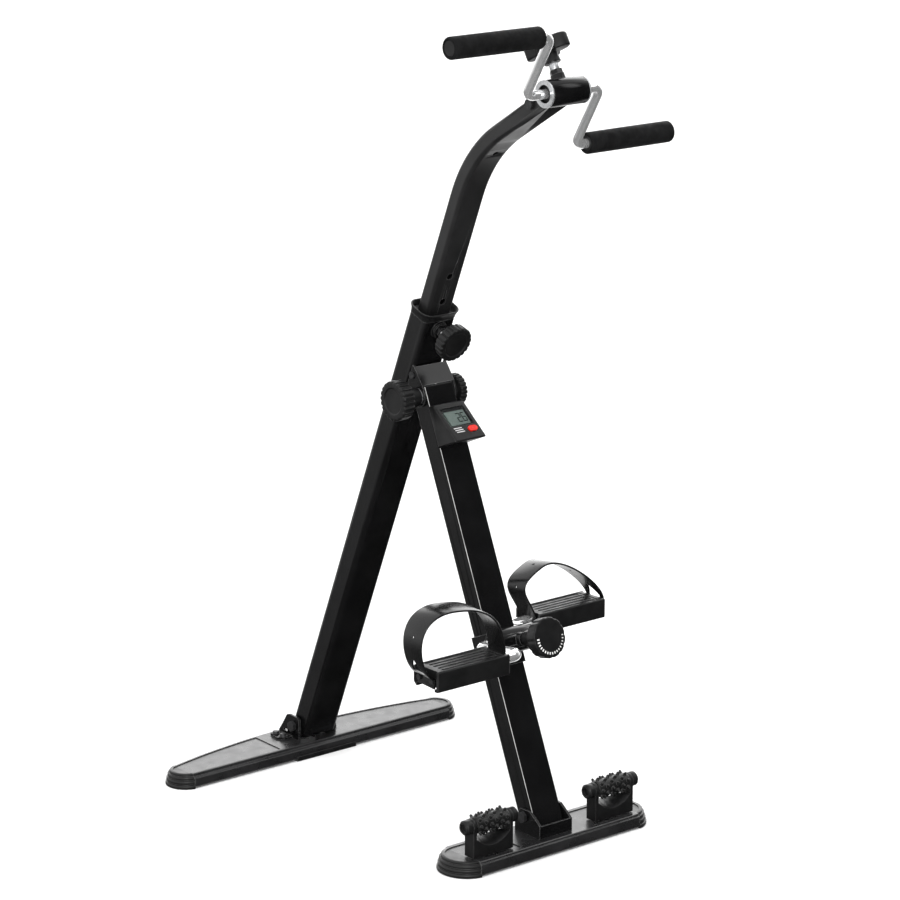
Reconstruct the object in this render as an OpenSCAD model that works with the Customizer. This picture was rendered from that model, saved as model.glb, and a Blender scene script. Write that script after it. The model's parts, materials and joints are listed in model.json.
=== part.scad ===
// Folding pedal exerciser for arms and legs: an A-frame of a rear post and a front leg,
// a height-adjustable mast with a hand crank, a foot crank with strapped pedals,
// two massage rollers, and a small counter display. Units are millimetres.
// +Z is up, X runs along the crank axles, the user sits on the -Y side,
// and the origin is under the centre of the rear foot, on the floor.

/* [Frame] */
// Tilt of the rear post and of the front leg from vertical, in degrees
frame_tilt = 22.5; // [18:0.5:27]
// Distance along the post from its foot to the level of the fold hinge
hinge_along = 605.7; // [560:0.1:640]
// Distance of the fold hinge in front of the post centre line
hinge_out = 41.5; // [38:0.1:46]
// Length of the front leg below the hinge
leg_len = 561.6; // [540:0.1:580]

/* [Post and leg tubes] */
// Post width across the frame
post_w = 52; // [46:1:60]
// Post depth
post_d = 34; // [30:1:40]
// Post corner radius
post_r = 7; // [3:0.5:10]
// Top of the post, measured along it
post_top = 700; // [680:1:720]
// Wall of the post tube
post_wall = 2; // [1.5:0.1:3]
// Front leg width across the frame
leg_w = 46; // [40:1:50]
// Front leg depth
leg_d = 28.4; // [24:0.1:32]
// Wall of the leg tube
leg_wall = 1.6; // [1.2:0.1:2.5]

/* [Mast] */
// Mast width across the frame
mast_w = 40; // [34:1:44]
// Mast depth
mast_d = 22; // [18:0.5:25]
// Mast corner radius
mast_r = 5; // [2:0.5:8]
// Wall of the mast tube
mast_wall = 1.6; // [1.2:0.1:2.5]
// Lower end of the mast, measured along the post
mast_low = 560; // [520:1:600]
// Start of the mast bend, measured along the post
bend_start = 876; // [850:1:900]
// Bend radius of the mast
bend_r = 186; // [160:1:220]
// Bend angle of the mast, in degrees
bend_a = 36.5; // [30:0.5:42]
// Straight length from the bend to the hand crank axle
mast_reach = 118; // [90:1:140]
// Pitch of the height holes
hole_pitch = 37.2; // [30:0.1:45]

/* [Hand crank] */
// Length of the hand crank housing
up_house_len = 60.8; // [50:0.2:80]
// Outer radius of both crank housings
house_r = 16.8; // [14:0.1:20]
// Radius of the hand crank rod
up_rod_r = 6; // [5:0.5:8]
// Throw of the hand crank
up_throw = 89.5; // [70:0.5:100]
// Lean of the raised hand crank arm towards the user, in degrees
up_lean = 31; // [0:1:90]
// Distance of the hand crank arms from the middle
up_arm_x = 60; // [54:1:70]
// Grip radius
grip_r = 13.4; // [12:0.1:18]
// Inner end of the grips, from the middle
grip_in = 78; // [74:1:90]
// Outer end of the grips, from the middle
grip_out = 215.4; // [190:0.2:230]

/* [Foot crank] */
// Position of the foot crank along the leg, below the hinge
low_along = 326.8; // [300:0.2:350]
// Radius of the foot crank rod
low_rod_r = 7.5; // [6:0.5:8]
// Throw of the foot crank
low_throw = 80; // [70:1:100]
// Angle of the left foot crank arm above level, in degrees
low_lift = 9; // [-20:1:40]
// Distance of the foot crank arms from the middle
low_arm_x = 57; // [54:1:66]
// Inner end of the pedals, from the middle
pedal_in = 93; // [88:1:100]
// Outer end of the pedals, from the middle
pedal_out = 207; // [180:1:215]
// Pedal depth from heel side to toe side
pedal_d = 47; // [40:1:60]
// Pedal body height
pedal_h = 26; // [20:1:32]
// Strap width
strap_w = 34; // [26:1:40]
// Thickness of the pedal straps
strap_t = 2.6; // [2:0.1:3.5]
// Sideways lean of the pedal straps, in degrees
strap_lean = 4; // [0:1:12]

/* [Feet] */
// Half length of the rear foot
rear_half = 240; // [220:1:260]
// Half length of the front foot
front_half = 162.5; // [150:0.5:180]
// Half depth of the front foot
front_hd = 37; // [32:1:42]
// Height of the steel feet above the floor
foot_gap = 2.5; // [2:0.5:5]
// Top of the steel feet
foot_top = 20; // [18:1:26]

/* [Hidden] */
$fn = 48;

base_z = 2;
hinge_y = -sin(frame_tilt) * hinge_along - cos(frame_tilt) * hinge_out;
hinge_z = cos(frame_tilt) * hinge_along - sin(frame_tilt) * hinge_out + base_z;
end_tilt = frame_tilt + bend_a;
axle_out = bend_r * (1 - cos(bend_a)) + mast_reach * sin(bend_a);
axle_along = bend_start + bend_r * sin(bend_a) + mast_reach * cos(bend_a);
lock_along = bend_start - 5 * hole_pitch - 2.4;
saddle_t = 2;
low_out = leg_d / 2 + saddle_t + house_r;
low_y = hinge_y - sin(frame_tilt) * low_along - cos(frame_tilt) * low_out;
low_z = hinge_z - cos(frame_tilt) * low_along + sin(frame_tilt) * low_out;
front_y = hinge_y - sin(frame_tilt) * (leg_len + 2);
front_bolt_z = 42;
front_bolt_y = hinge_y - tan(frame_tilt) * (hinge_z - front_bolt_z);
rear_bolt_z = 38;
rear_bolt_y = -8;
roller_x = 101;
roller_y = front_y - 13;
roller_z = 60;
stand_half = 32;
stand_hd = 8.8;
stand_top = 44;
arm_t = 5;
eye_r = 9.8;
scoop_low = 32;
scoop_tilt = 27;
scoop_r = 38;
core_half = 26.5;
core_r = 11;
fit = 0.05;
slack = 0.2;
bolt_r = 4;
thread_r = 3;
screw_r = 2.5;
axle_r = 4;
lock_r = 5;
pin_r = 1.8;
pin_head_r = 3.6;
pin_y = 12;
bore_r = 13.8;
ear_out = 26.4;
ear_t = 2.4;
stop_bolt_at = [0, 0.4, 27.8];
plate_foot = [14.2, 10.8];
plate_head = [7.5, 37];
flange_x = 42;
base_screw_x = 12;
flange_y = [1, 17];
rear_cut_z = 27;
post_in_w = post_w - 2 * post_wall - 0.1;
post_in_d = post_d - 2 * post_wall - 0.1;
end_bolt_at = [0, 4, -40];
bend_hole_a = 25;
lap = 1;
lap_t = 0.02;
notch_w = strap_w + 7;
screw_dip = 6.5;
// The worn-in curve of each strap: outer anchor to crest, then crest to inner anchor.
strap_outer_end = [pedal_out - 2.9, 4];
strap_inner_end = [pedal_in + 2.9, 6];
left_crest = [179, 85];
left_curve = [[strap_outer_end, [227, 8], [256, 92], left_crest],
    [left_crest, [139, 81], [92, 69], strap_inner_end]];
right_crest = [107.6, 70.4];
right_curve = [[strap_outer_end, [232.5, 8], [145.5, 85.5], right_crest],
    [right_crest, [56, 50], [82.5, 41], strap_inner_end]];
face_y = 10;
face_z = 19;
face_tilt = 28.4;
face_len = 55.7;

module in_post() translate([0, 0, base_z]) rotate([frame_tilt, 0, 0]) children();
module in_leg() translate([0, hinge_y, hinge_z]) rotate([-frame_tilt, 0, 0]) children();
module in_hand() in_post() translate([0, -axle_out, axle_along]) rotate([bend_a, 0, 0]) children();
module in_foot() in_leg() translate([0, -low_out, -low_along]) children();
module in_foot_screw() in_foot() rotate([90 + screw_dip, 0, 0]) children();
module hand_pose() in_hand() rotate([up_lean - end_tilt, 0, 0]) children();
module foot_pose() translate([0, low_y, low_z]) rotate([90 - low_lift, 0, 0]) children();
module on_side(s) mirror([s < 0 ? 1 : 0, 0, 0]) children();
module both() for (s = [-1, 1]) on_side(s) children();
module along_x(x0, x1, r) translate([x0, 0, 0]) rotate([0, 90, 0]) cylinder(h = x1 - x0, r = r);
module through_x(r) along_x(-60, 60, r);
module below(z) translate([-60, -80, -60]) cube([120, 160, 60 + z]);

module round_rect(w, d, r) {
    square([w - 2 * r, d], center = true);
    square([w, d - 2 * r], center = true);
    for (x = [-1, 1], y = [-1, 1])
        translate([x * (w / 2 - r), y * (d / 2 - r)]) circle(r);
}

module tube_section(w, d, r, wall) difference() {
    round_rect(w, d, r);
    round_rect(w - 2 * wall, d - 2 * wall, r - wall);
}

module stadium(half, hd) {
    square([2 * (half - hd), 2 * hd], center = true);
    for (x = [-1, 1]) translate([x * (half - hd), 0]) circle(hd, $fn = 96);
}

module hex_head(r, h) cylinder(h = h, r = r, $fn = 6);

// ---- rear post group ----
module main_post() color("#17181a") difference() {
    union() {
        in_post() translate([0, 0, 10]) linear_extrude(post_top - 10)
            tube_section(post_w, post_d, post_r, post_wall);
        in_post() translate([0, -post_d / 2 + 1, lock_along]) rotate([90, 0, 0]) {
            cylinder(h = 5, r = 11);
            translate([0, 0, 5]) hex_head(9.5, 7);
        }
    }
    below(rear_cut_z);
    translate([0, rear_bolt_y, rear_bolt_z]) through_x(bolt_r + slack);
    in_post() translate([0, 0, lock_along]) rotate([90, 0, 0]) cylinder(h = 60, r = lock_r + fit);
}

module post_collar() color("#1c1d1f") in_post() difference() {
    union() {
        translate([0, 0, post_top - 62]) linear_extrude(62)
            round_rect(post_in_w, post_in_d, post_r - post_wall);
        for (i = [0:2]) translate([0, 0, post_top + 4 * i]) linear_extrude(4)
            round_rect(post_w + 2 + 3 * i, post_d + 2 + 3 * i, post_r + 3 + 2 * i);
    }
    translate([0, 0, post_top - 70]) linear_extrude(90)
        round_rect(mast_w + 0.12, mast_d + 0.12, mast_r);
    translate([0, 0, post_top + 4]) linear_extrude(10)
        round_rect(post_w - 1, post_d - 1, post_r + 3);
    translate([0, 0, post_top + 8]) linear_extrude(10)
        round_rect(post_w + 3, post_d + 3, post_r + 5);
    translate([0, 0, lock_along]) rotate([90, 0, 0]) cylinder(h = 60, r = lock_r + 0.6);
}

module post_end_plug() color("#101112") difference() {
    in_post() translate([0, 0, 10]) linear_extrude(60)
        round_rect(post_in_w, post_in_d, post_r - post_wall);
    below(rear_cut_z);
    translate([-60, -90, 44]) cube([120, 150, 60]);
    translate([0, rear_bolt_y, rear_bolt_z]) through_x(bolt_r + slack);
}

// Side outline of the hinge bracket ear, in leg axes: x is forward, y is up the leg.
module ear_outline() difference() {
    union() {
        circle(14);
        polygon([[-10, -10], [14, 0], plate_foot, plate_head, [3, 44], [-34, 4]]);
    }
    rotate(2 * frame_tilt) translate([-100, hinge_out - post_d / 2 + 0.01]) square([200, 100]);
}

module hinge_bracket() color("#141517") difference() {
    in_leg() {
        for (x = [-ear_out, ear_out - ear_t]) translate([x, 0, 0]) rotate([90, 0, 90])
            mirror([1, 0, 0]) linear_extrude(ear_t) ear_outline();
        translate([-ear_out, 0, 0]) rotate([90, 0, 90]) mirror([1, 0, 0]) linear_extrude(2 * ear_out)
            polygon([plate_foot, plate_head, plate_head - [2, 0], plate_foot - [2, 0]]);
    }
    in_leg() through_x(bolt_r + fit);
    in_leg() translate(stop_bolt_at) through_x(bolt_r);
}

module hinge_stop_bolt() color("#b9bcc0") in_leg() translate(stop_bolt_at) {
    along_x(-ear_out - 1, ear_out + 1, bolt_r - fit);
    translate([-ear_out - 2, 0, 0]) rotate([0, 90, 0]) hex_head(5, 2);
    translate([ear_out, 0, 0]) rotate([0, 90, 0]) hex_head(5, 2);
}

module fluted_disc(r, h, n, flute) difference() {
    union() {
        translate([0, 0, 1.5]) cylinder(h = h - 3, r = r);
        cylinder(h = 1.5, r1 = r - 1.5, r2 = r);
        translate([0, 0, h - 1.5]) cylinder(h = 1.5, r1 = r, r2 = r - 1.5);
    }
    for (i = [0:n - 1]) rotate(360 / n * i) translate([r + flute * 0.45, 0, -1])
        cylinder(h = h - 3, r = flute, $fn = 24);
}

module lock_knob() color("#1a1b1d") in_post() translate([0, -post_d / 2 - 20, lock_along])
    rotate([90, 0, 0]) difference() {
        union() {
            cylinder(h = 4, r1 = 11, r2 = 14);
            translate([0, 0, 4]) fluted_disc(24.5, 15, 20, 2.4);
        }
        translate([0, 0, -1]) cylinder(h = 13, r = lock_r);
        translate([0, 0, 18]) cylinder(h = 3, r = 17);
    }

module lock_screw() color("#c4c7ca") in_post() translate([0, -mast_d / 2 - 0.3, lock_along])
    rotate([90, 0, 0]) {
        cylinder(h = post_d / 2 - mast_d / 2 + 31.5, r = lock_r);
        translate([0, 0, post_d / 2 - mast_d / 2 + 12.5]) cylinder(h = 4, r = 8);
    }

module hinge_bolt() color("#b9bcc0") in_leg() along_x(-54, 36, bolt_r);

module hinge_washers() color("#8f9296") in_leg() for (x = [-28.4, 26.45])
    translate([x, 0, 0]) rotate([0, 90, 0]) difference() {
        cylinder(h = 1.9, r = 11);
        translate([0, 0, -1]) cylinder(h = 4, r = bolt_r + fit);
    }

module hinge_knob(hub, bore, rim_r, rim_h) difference() {
    union() {
        cylinder(h = hub + 1, r1 = 12, r2 = 15);
        translate([0, 0, hub]) fluted_disc(rim_r, rim_h, 22, rim_r / 10);
    }
    translate([0, 0, -1]) cylinder(h = bore + 1, r = bolt_r + fit);
    translate([0, 0, hub + rim_h - 0.8]) cylinder(h = 2, r = rim_r - 7);
}

module hinge_knob_left() color("#1a1b1d") in_leg() translate([-28.5, 0, 0])
    rotate([0, -90, 0]) hinge_knob(21, 26, 26, 18);

module hinge_knob_right() color("#1a1b1d") in_leg() translate([28.5, 0, 0])
    rotate([0, 90, 0]) hinge_knob(1, 8, 21.5, 10);

// ---- rear foot ----
module rear_plan(inset, half) intersection() {
    translate([0, -900 + 40 - inset]) circle(900, $fn = 240);
    translate([-half, -40 + inset]) square([2 * half, 100]);
}

module rear_cap_plan(inset) intersection() {
    rear_plan(inset, rear_half - inset);
    union() {
        square([2 * rear_half - 50, 200], center = true);
        for (x = [-1, 1]) translate([x * (rear_half - inset - 25), -15]) circle(25, $fn = 64);
    }
}

module rear_foot() color("#232527") difference() {
    union() {
        translate([0, 0, foot_gap]) linear_extrude(10) rear_plan(0.5, rear_half - 22);
        translate([0, 0, foot_gap + 10]) linear_extrude(4) rear_plan(4, rear_half - 22);
        translate([0, 0, foot_gap + 14]) linear_extrude(foot_top - foot_gap - 14)
            rear_plan(8, rear_half - 22);
    }
    for (x = [-1, 1]) translate([0, 0, foot_top - 1.2]) linear_extrude(5) intersection() {
        rear_plan(12, rear_half - 26);
        translate([x * 145, 0]) square([150, 100], center = true);
    }
    translate([0, 0, 0]) linear_extrude(foot_top - 2.5) intersection() {
        rear_plan(11, rear_half - 24);
        square([420, 100], center = true);
    }
    for (x = [-flange_x, flange_x], y = flange_y) translate([x, y, 10])
        cylinder(h = 20, r = screw_r + 0.1);
}

module rear_foot_caps() color("#111213") difference() {
    union() {
        linear_extrude(6) rear_cap_plan(-1);
        translate([0, 0, 6]) linear_extrude(6) rear_cap_plan(0);
        translate([0, 0, 12]) linear_extrude(5) rear_cap_plan(3.5);
        translate([0, 0, 17]) linear_extrude(foot_top - 17) rear_cap_plan(7.5);
    }
    translate([-rear_half + 22, -60, -1]) cube([2 * rear_half - 44, 120, 40]);
}

module rear_foot_pad() color("#111213") {
    translate([-50, -42, 0]) cube([100, 78, foot_gap]);
    translate([-50, -42, foot_gap]) cube([100, 2, 4]);
}

module rear_bracket() color("#141517") difference() {
    union() {
        translate([0, 0, foot_top]) linear_extrude(3)
            polygon([[-44, -6], [44, -6], [51, 4], [46, 24], [-46, 24], [-51, 4]]);
        for (x = [-31.5, 28.5]) translate([x, 0, 0]) rotate([90, 0, 90]) linear_extrude(3)
            polygon([[-21, foot_top], [24, foot_top], [24, 25], [16, 36], [6, 51], [0, 53],
                [-16, 52], [-21, 49]]);
    }
    translate([0, rear_bolt_y, rear_bolt_z]) through_x(bolt_r + fit);
    for (x = [-flange_x, flange_x], y = flange_y) translate([x, y, 10])
        cylinder(h = 20, r = screw_r + 0.1);
    for (x = [-40, 20]) translate([x, 5, 27]) cube([20, 8, 3]);
}

module rear_bracket_bolt() color("#b9bcc0") translate([0, rear_bolt_y, rear_bolt_z]) {
    along_x(-31.5, 36, bolt_r);
    translate([-36.5, 0, 0]) rotate([0, 90, 0]) hex_head(7.5, 5);
    translate([31.5, 0, 0]) rotate([0, 90, 0]) difference() {
        hex_head(7.5, 6);
        translate([0, 0, -1]) cylinder(h = 8, r = bolt_r + fit);
    }
}

module rear_flange_screws() color("#b9bcc0") for (x = [-flange_x, flange_x], y = flange_y)
    translate([x, y, 0]) {
        translate([0, 0, foot_top - 6]) cylinder(h = 9, r = screw_r);
        translate([0, 0, foot_top + 3]) cylinder(h = 1, r = 6);
        translate([0, 0, foot_top + 4]) cylinder(h = 3, r1 = 5, r2 = 3.6);
    }

// ---- mast group ----
module mast_tube() tube_section(mast_w, mast_d, mast_r, mast_wall);

module along_bend(angle) translate([0, -bend_r, bend_start]) rotate([angle, 0, 0])
    translate([0, bend_r, 0]) children();

module mast_lower() difference() {
    translate([0, 0, mast_low]) linear_extrude(bend_start - mast_low) mast_tube();
    for (i = [-2:2]) translate([0, 0, lock_along + i * hole_pitch])
        rotate([90, 0, 0]) cylinder(h = 30, r = 4.6);
}

module mast_bend() difference() {
    translate([0, -bend_r, bend_start]) rotate([90, 0, 90])
        rotate_extrude(angle = bend_a) translate([bend_r, 0]) rotate(90) mast_tube();
    along_bend(bend_hole_a) rotate([90, 0, 0]) cylinder(h = 30, r = 4);
}

// The straight top end laps over the bend by a weld's width, and stands a hair proud of it.
module mast_upper() difference() {
    along_bend(bend_a) translate([0, 0, -lap]) linear_extrude(mast_reach - 4 + lap)
        tube_section(mast_w + 2 * lap_t, mast_d + 2 * lap_t, mast_r + lap_t, mast_wall + 2 * lap_t);
    along_bend(bend_a) translate([0, 0, mast_reach]) through_x(house_r + fit);
    along_bend(bend_a) translate([0, 0, mast_reach]) translate(end_bolt_at)
        through_x(thread_r + 0.1);
}

module mast() color("#17181a") in_post() {
    mast_lower();
    mast_bend();
    mast_upper();
}

module mast_glide() color("#2a2c2e") in_post() difference() {
    union() {
        translate([0, 0, mast_low - 12]) linear_extrude(12)
            round_rect(post_in_w - 0.02, post_in_d - 0.02, post_r - post_wall);
        translate([0, 0, mast_low]) linear_extrude(20)
            round_rect(mast_w - 2 * mast_wall, mast_d - 2 * mast_wall, mast_r - mast_wall);
    }
    translate([0, 0, mast_low - 13]) linear_extrude(40) round_rect(mast_w - 14, mast_d - 12, 2);
}

module mast_end_bolt() color("#c9ccd0") in_hand() translate(end_bolt_at) {
    along_x(-mast_w / 2 - 2, mast_w / 2 + 2, thread_r);
    both() along_x(mast_w / 2 + fit, mast_w / 2 + 4, 6.5);
}

module hand_housing() color("#141517") in_hand() difference() {
    union() {
        along_x(-up_house_len / 2 + 2.2, up_house_len / 2 - 2.2, house_r);
        rotate([-90, 0, 0]) cylinder(h = 22, r = 9);
        rotate([-90, 0, 0]) translate([0, 0, 22]) hex_head(8.4, 6);
    }
    through_x(bore_r);
    rotate([-90, 0, 0]) cylinder(h = 30, r = thread_r + 0.1);
}

module ring_x(x, t, r1, r0) translate([x, 0, 0]) rotate([0, 90, 0]) difference() {
    cylinder(h = t, r = r1);
    translate([0, 0, -1]) cylinder(h = t + 2, r = r0);
}

module hand_housing_rings() color("#d0d3d6") in_hand() both()
    ring_x(up_house_len / 2 - 2.2, 2.2, house_r, 11);

module hand_bearings() color("#3a3c3f") in_hand() both() {
    ring_x(12, 13, bore_r, up_rod_r + fit);
}

module shoe(rod) intersection() {
    difference() {
        along_x(-9, 9, bore_r - 0.1);
        through_x(rod + fit);
    }
    translate([-10, 1, -14]) cube([20, 14, 28]);
}

module hand_friction_shoe() color("#6b5c4a") in_hand() shoe(up_rod_r);

module hand_tension_screw() color("#d0d3d6") in_hand() rotate([-90, 0, 0]) {
    translate([0, 0, bore_r - fit]) cylinder(h = 34, r = thread_r);
    translate([0, 0, 28.3]) cylinder(h = 9, r = 6);
}

module star_plan() {
    circle(15);
    for (i = [0:3]) rotate(90 * i + 36) {
        translate([19.5, 0]) circle(8.5);
        translate([0, -6.5]) square([20, 13]);
    }
}

module hand_tension_knob() color("#1a1b1d") in_hand() rotate([-90, 0, 0]) difference() {
    union() {
        translate([0, 0, 37.3]) cylinder(h = 14, r1 = 10.5, r2 = 9);
        translate([0, 0, 50]) linear_extrude(18) star_plan();
    }
    translate([0, 0, 30]) cylinder(h = 17.75, r = thread_r);
}

// Bent crank rod: in these axes the right arm points up and the left arm points down.
module elbow(r, bend) rotate_extrude(angle = 90, $fn = 64) translate([bend, 0]) circle(r, $fn = 32);

module bent_rod(r, bend, arm_x, throw, tip_x) {
    along_x(-arm_x + bend, arm_x - bend, r);
    for (a = [0, 180]) rotate([0, a, 0]) {
        translate([arm_x - bend, 0, bend]) rotate([0, 90, 0]) rotate([90, 0, 0]) elbow(r, bend);
        translate([arm_x, 0, bend]) cylinder(h = throw - 2 * bend, r = r);
        translate([arm_x + bend, 0, throw - bend]) rotate([0, 0, 180]) rotate([90, 0, 0])
            elbow(r, bend);
        translate([0, 0, throw]) along_x(arm_x + bend, tip_x, r);
    }
}

module hand_crank() color("#d8dbde") hand_pose() mirror([1, 0, 0])
    bent_rod(up_rod_r, 13, up_arm_x, up_throw, grip_out - 6);

module grip() {
    difference() {
        union() {
            along_x(grip_in + 1.5, grip_out - 1.5, grip_r);
            translate([grip_in, 0, 0]) rotate([0, 90, 0])
                cylinder(h = 1.5, r1 = grip_r - 1.5, r2 = grip_r);
            translate([grip_out - 1.5, 0, 0]) rotate([0, 90, 0])
                cylinder(h = 1.5, r1 = grip_r, r2 = grip_r - 1.5);
        }
        along_x(grip_in - 1, grip_out + 1, 9);
    }
}

module grip_core() difference() {
    along_x(grip_in + 1, grip_out - 0.8, 9);
    along_x(grip_in - 1, grip_out - 5.6, up_rod_r + fit);
}

module grip_left() color("#202123") hand_pose() translate([0, 0, up_throw]) mirror([1, 0, 0]) grip();

module grip_right() color("#202123") hand_pose() translate([0, 0, -up_throw]) grip();

module grip_core_left() color("#2c2e30") hand_pose() translate([0, 0, up_throw])
    mirror([1, 0, 0]) grip_core();

module grip_core_right() color("#2c2e30") hand_pose() translate([0, 0, -up_throw]) grip_core();

// ---- front leg group ----
module front_leg() color("#17181a") difference() {
    in_leg() translate([0, 0, -leg_len - 20]) linear_extrude(leg_len + 29)
        difference() {
            round_rect(leg_w, leg_d, 1.6);
            square([leg_w - 2 * leg_wall, leg_d - 2 * leg_wall], center = true);
        }
    translate([0, front_y, 0]) below(rear_cut_z);
    in_leg() through_x(bolt_r + fit);
    translate([0, front_bolt_y, front_bolt_z]) through_x(bolt_r + slack);
    in_leg() for (x = [-40, 10]) translate([x, 1, -low_along - 6]) rotate([0, 90, 0])
        cylinder(h = 30, r = 2);
}

module leg_top_plug() color("#1c1d1f") in_leg() difference() {
    union() {
        translate([0, 0, -14]) linear_extrude(23)
            square([leg_w - 2 * leg_wall - 0.1, leg_d - 2 * leg_wall - 0.1], center = true);
        translate([0, 0, 9]) linear_extrude(1.5) round_rect(leg_w, leg_d, 1.6);
    }
    through_x(bolt_r + fit);
}

module leg_saddle() color("#1b1c1e") in_leg() difference() {
    union() {
        translate([-leg_w / 2 - saddle_t, -leg_d / 2 - saddle_t, -low_along - 30])
            cube([leg_w + 2 * saddle_t, leg_d + saddle_t + 2.6, 45]);
        translate([-20, -low_out, -low_along - 12]) cube([40, house_r, 24]);
    }
    translate([-leg_w / 2, -leg_d / 2, -low_along - 40]) cube([leg_w, leg_d + 20, 70]);
    translate([0, -low_out, -low_along]) through_x(house_r);
    for (x = [-40, 10]) translate([x, 1, -low_along - 6]) rotate([0, 90, 0])
        cylinder(h = 30, r = 2);
}

module leg_saddle_screws() color("#9fa2a6") in_leg() both()
    translate([leg_w / 2 - 6, 1, -low_along - 6]) rotate([0, 90, 0]) {
        cylinder(h = 9, r = 1.9);
        translate([0, 0, 8]) cylinder(h = 2, r1 = 4, r2 = 2.8);
    }

module foot_housing() color("#141517") in_foot() difference() {
    union() {
        along_x(-30, 30, house_r);
        rotate([90 + screw_dip, 0, 0]) cylinder(h = house_r + 7, r = 9);
    }
    through_x(bore_r);
    rotate([90 + screw_dip, 0, 0]) cylinder(h = 40, r = thread_r + 0.1);
}

module foot_bearings() color("#3a3c3f") in_foot() both() {
    ring_x(11, 19, bore_r, low_rod_r + fit);
    ring_x(30, 2.5, house_r, low_rod_r + fit);
}

module foot_friction_shoe() color("#6b5c4a") in_foot() mirror([0, 1, 0]) shoe(low_rod_r);

module foot_tension_screw() color("#c4c7ca") in_foot_screw() {
    translate([0, 0, bore_r - fit]) cylinder(h = 36, r = thread_r);
    translate([0, 0, house_r + 8]) cylinder(h = 4, r = 6.5);
}

module foot_tension_knob() color("#1a1b1d") in_foot_screw() difference() {
    union() {
        translate([0, 0, house_r + 12.2]) cylinder(h = 30, r1 = 10.5, r2 = 14);
        translate([0, 0, 57]) fluted_disc(26, 16, 12, 1.6);
    }
    translate([0, 0, 20]) cylinder(h = 29.75, r = thread_r);
}

module foot_knob_dial() color("#f0f0ee") in_foot_screw() translate([0, 0, 73])
    for (i = [0:16]) rotate(178 + 11.4 * i) translate([17.4 + i * 0.1, -0.9, 0])
        cube([3.8 - i * 0.1, 1.8 - i * 0.04, 0.4]);

module foot_crank() color("#d4d7da") foot_pose() mirror([1, 0, 0])
    bent_rod(low_rod_r, 14, low_arm_x, low_throw, pedal_out - 9);

module at_pedal(s) translate([0, low_y, low_z])
    translate([0, s * low_throw * cos(low_lift), -s * low_throw * sin(low_lift)]) on_side(s) children();

module pedal_section() difference() {
    round_rect(pedal_d, pedal_h, 5);
    translate([0, -pedal_h / 2 - 2]) round_rect(pedal_d - 12, 14, 2);
}

module pedal() difference() {
    union() {
        translate([pedal_in, 0, 0]) rotate([90, 0, 90]) linear_extrude(pedal_out - pedal_in)
            pedal_section();
        along_x(pedal_in - 1, pedal_out - 2, 11);
    }
    along_x(pedal_in - 5, pedal_out - 8, low_rod_r + fit);
    for (y = [-16:4:16]) translate([pedal_in + 12, y - 0.8, pedal_h / 2 - 1.2])
        cube([pedal_out - pedal_in - 30, 1.6, 3]);
    translate([pedal_out - 3, -notch_w / 2, -9]) cube([5, notch_w, 40]);
    translate([pedal_in - 2, -notch_w / 2, -4]) cube([5, notch_w, 40]);
    for (y = [-pin_y, pin_y]) translate([0, y, 0])
        along_x(pedal_out - 15, pedal_out + 5, pin_r + 0.1);
}

module pedal_left() color("#1a1b1d") at_pedal(-1) pedal();

module pedal_right() color("#1a1b1d") at_pedal(1) pedal();

// A strap is a band bent along a smooth curve from the outer end to the inner end.
function bez(p, t) = pow(1 - t, 3) * p[0] + 3 * pow(1 - t, 2) * t * p[1]
    + 3 * (1 - t) * t * t * p[2] + t * t * t * p[3];
function strap_line(a, b, n) = concat([for (i = [0:n]) bez(a, i / n)],
    [for (i = [1:n]) bez(b, i / n)]);
function unit(v) = v / norm(v);
function side(l, i) = let (d = unit(l[min(i + 1, len(l) - 1)] - l[max(i - 1, 0)])) [d[1], -d[0]];
function band(l, t) = concat([for (i = [0:len(l) - 1]) l[i] + side(l, i) * t],
    [for (i = [len(l) - 1:-1:0]) l[i]]);

module strap_band(curve, lean) rotate([-lean, 0, 0]) translate([0, strap_w / 2, 0])
    rotate([90, 0, 0]) difference() {
        linear_extrude(strap_w) polygon(band(strap_line(curve[0], curve[1], 14), strap_t));
        translate([pedal_out - 12, 17, strap_w / 2]) rotate([0, 90, 0])
            cylinder(h = 40, r = 6, $fn = 3);
    }

module pedal_strap(curve, lean) difference() {
    union() {
        strap_band(curve, lean);
        translate([pedal_out - 2.9, -strap_w / 2, -8.9]) cube([2.8, strap_w, 14]);
        translate([pedal_in + 0.1, -strap_w / 2, -3.9]) cube([2.8, strap_w, 14]);
    }
    for (y = [-pin_y, pin_y]) translate([0, y, 0]) {
        along_x(pedal_out - 15, pedal_out + 5, pin_r + 0.1);
        along_x(pedal_out - 0.1, pedal_out + 40, pin_head_r + 0.4);
    }
    along_x(pedal_in - 5, pedal_in + 8, 11.1);
}

module strap_left() color("#1c1d1f") at_pedal(-1) pedal_strap(left_curve, -strap_lean);

module strap_right() color("#1c1d1f") at_pedal(1) pedal_strap(right_curve, strap_lean);

module strap_pins() for (y = [-pin_y, pin_y]) translate([0, y, 0]) {
    along_x(pedal_out - 12, pedal_out, pin_r);
    along_x(pedal_out - fit, pedal_out + 2, pin_head_r);
}

module strap_pins_left() color("#9fa2a6") at_pedal(-1) strap_pins();

module strap_pins_right() color("#9fa2a6") at_pedal(1) strap_pins();

// ---- front foot ----
module front_foot() color("#1e2022") translate([0, front_y, 0]) difference() {
    union() {
        translate([0, 0, foot_gap]) linear_extrude(14) stadium(front_half - 0.5, front_hd - 0.5);
        translate([0, 0, foot_gap + 14]) linear_extrude(foot_top - foot_gap - 14)
            stadium(front_half - 3, front_hd - 3);
    }
    both() translate([front_half - 30, -100, -10]) cube([100, 200, 80]);
    linear_extrude(foot_top - 2.5) square([250, 2 * front_hd - 15], center = true);
    for (x = [-base_screw_x, base_screw_x]) translate([x, 0, 0]) cylinder(h = 40, r = screw_r + 0.1);
}

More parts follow.
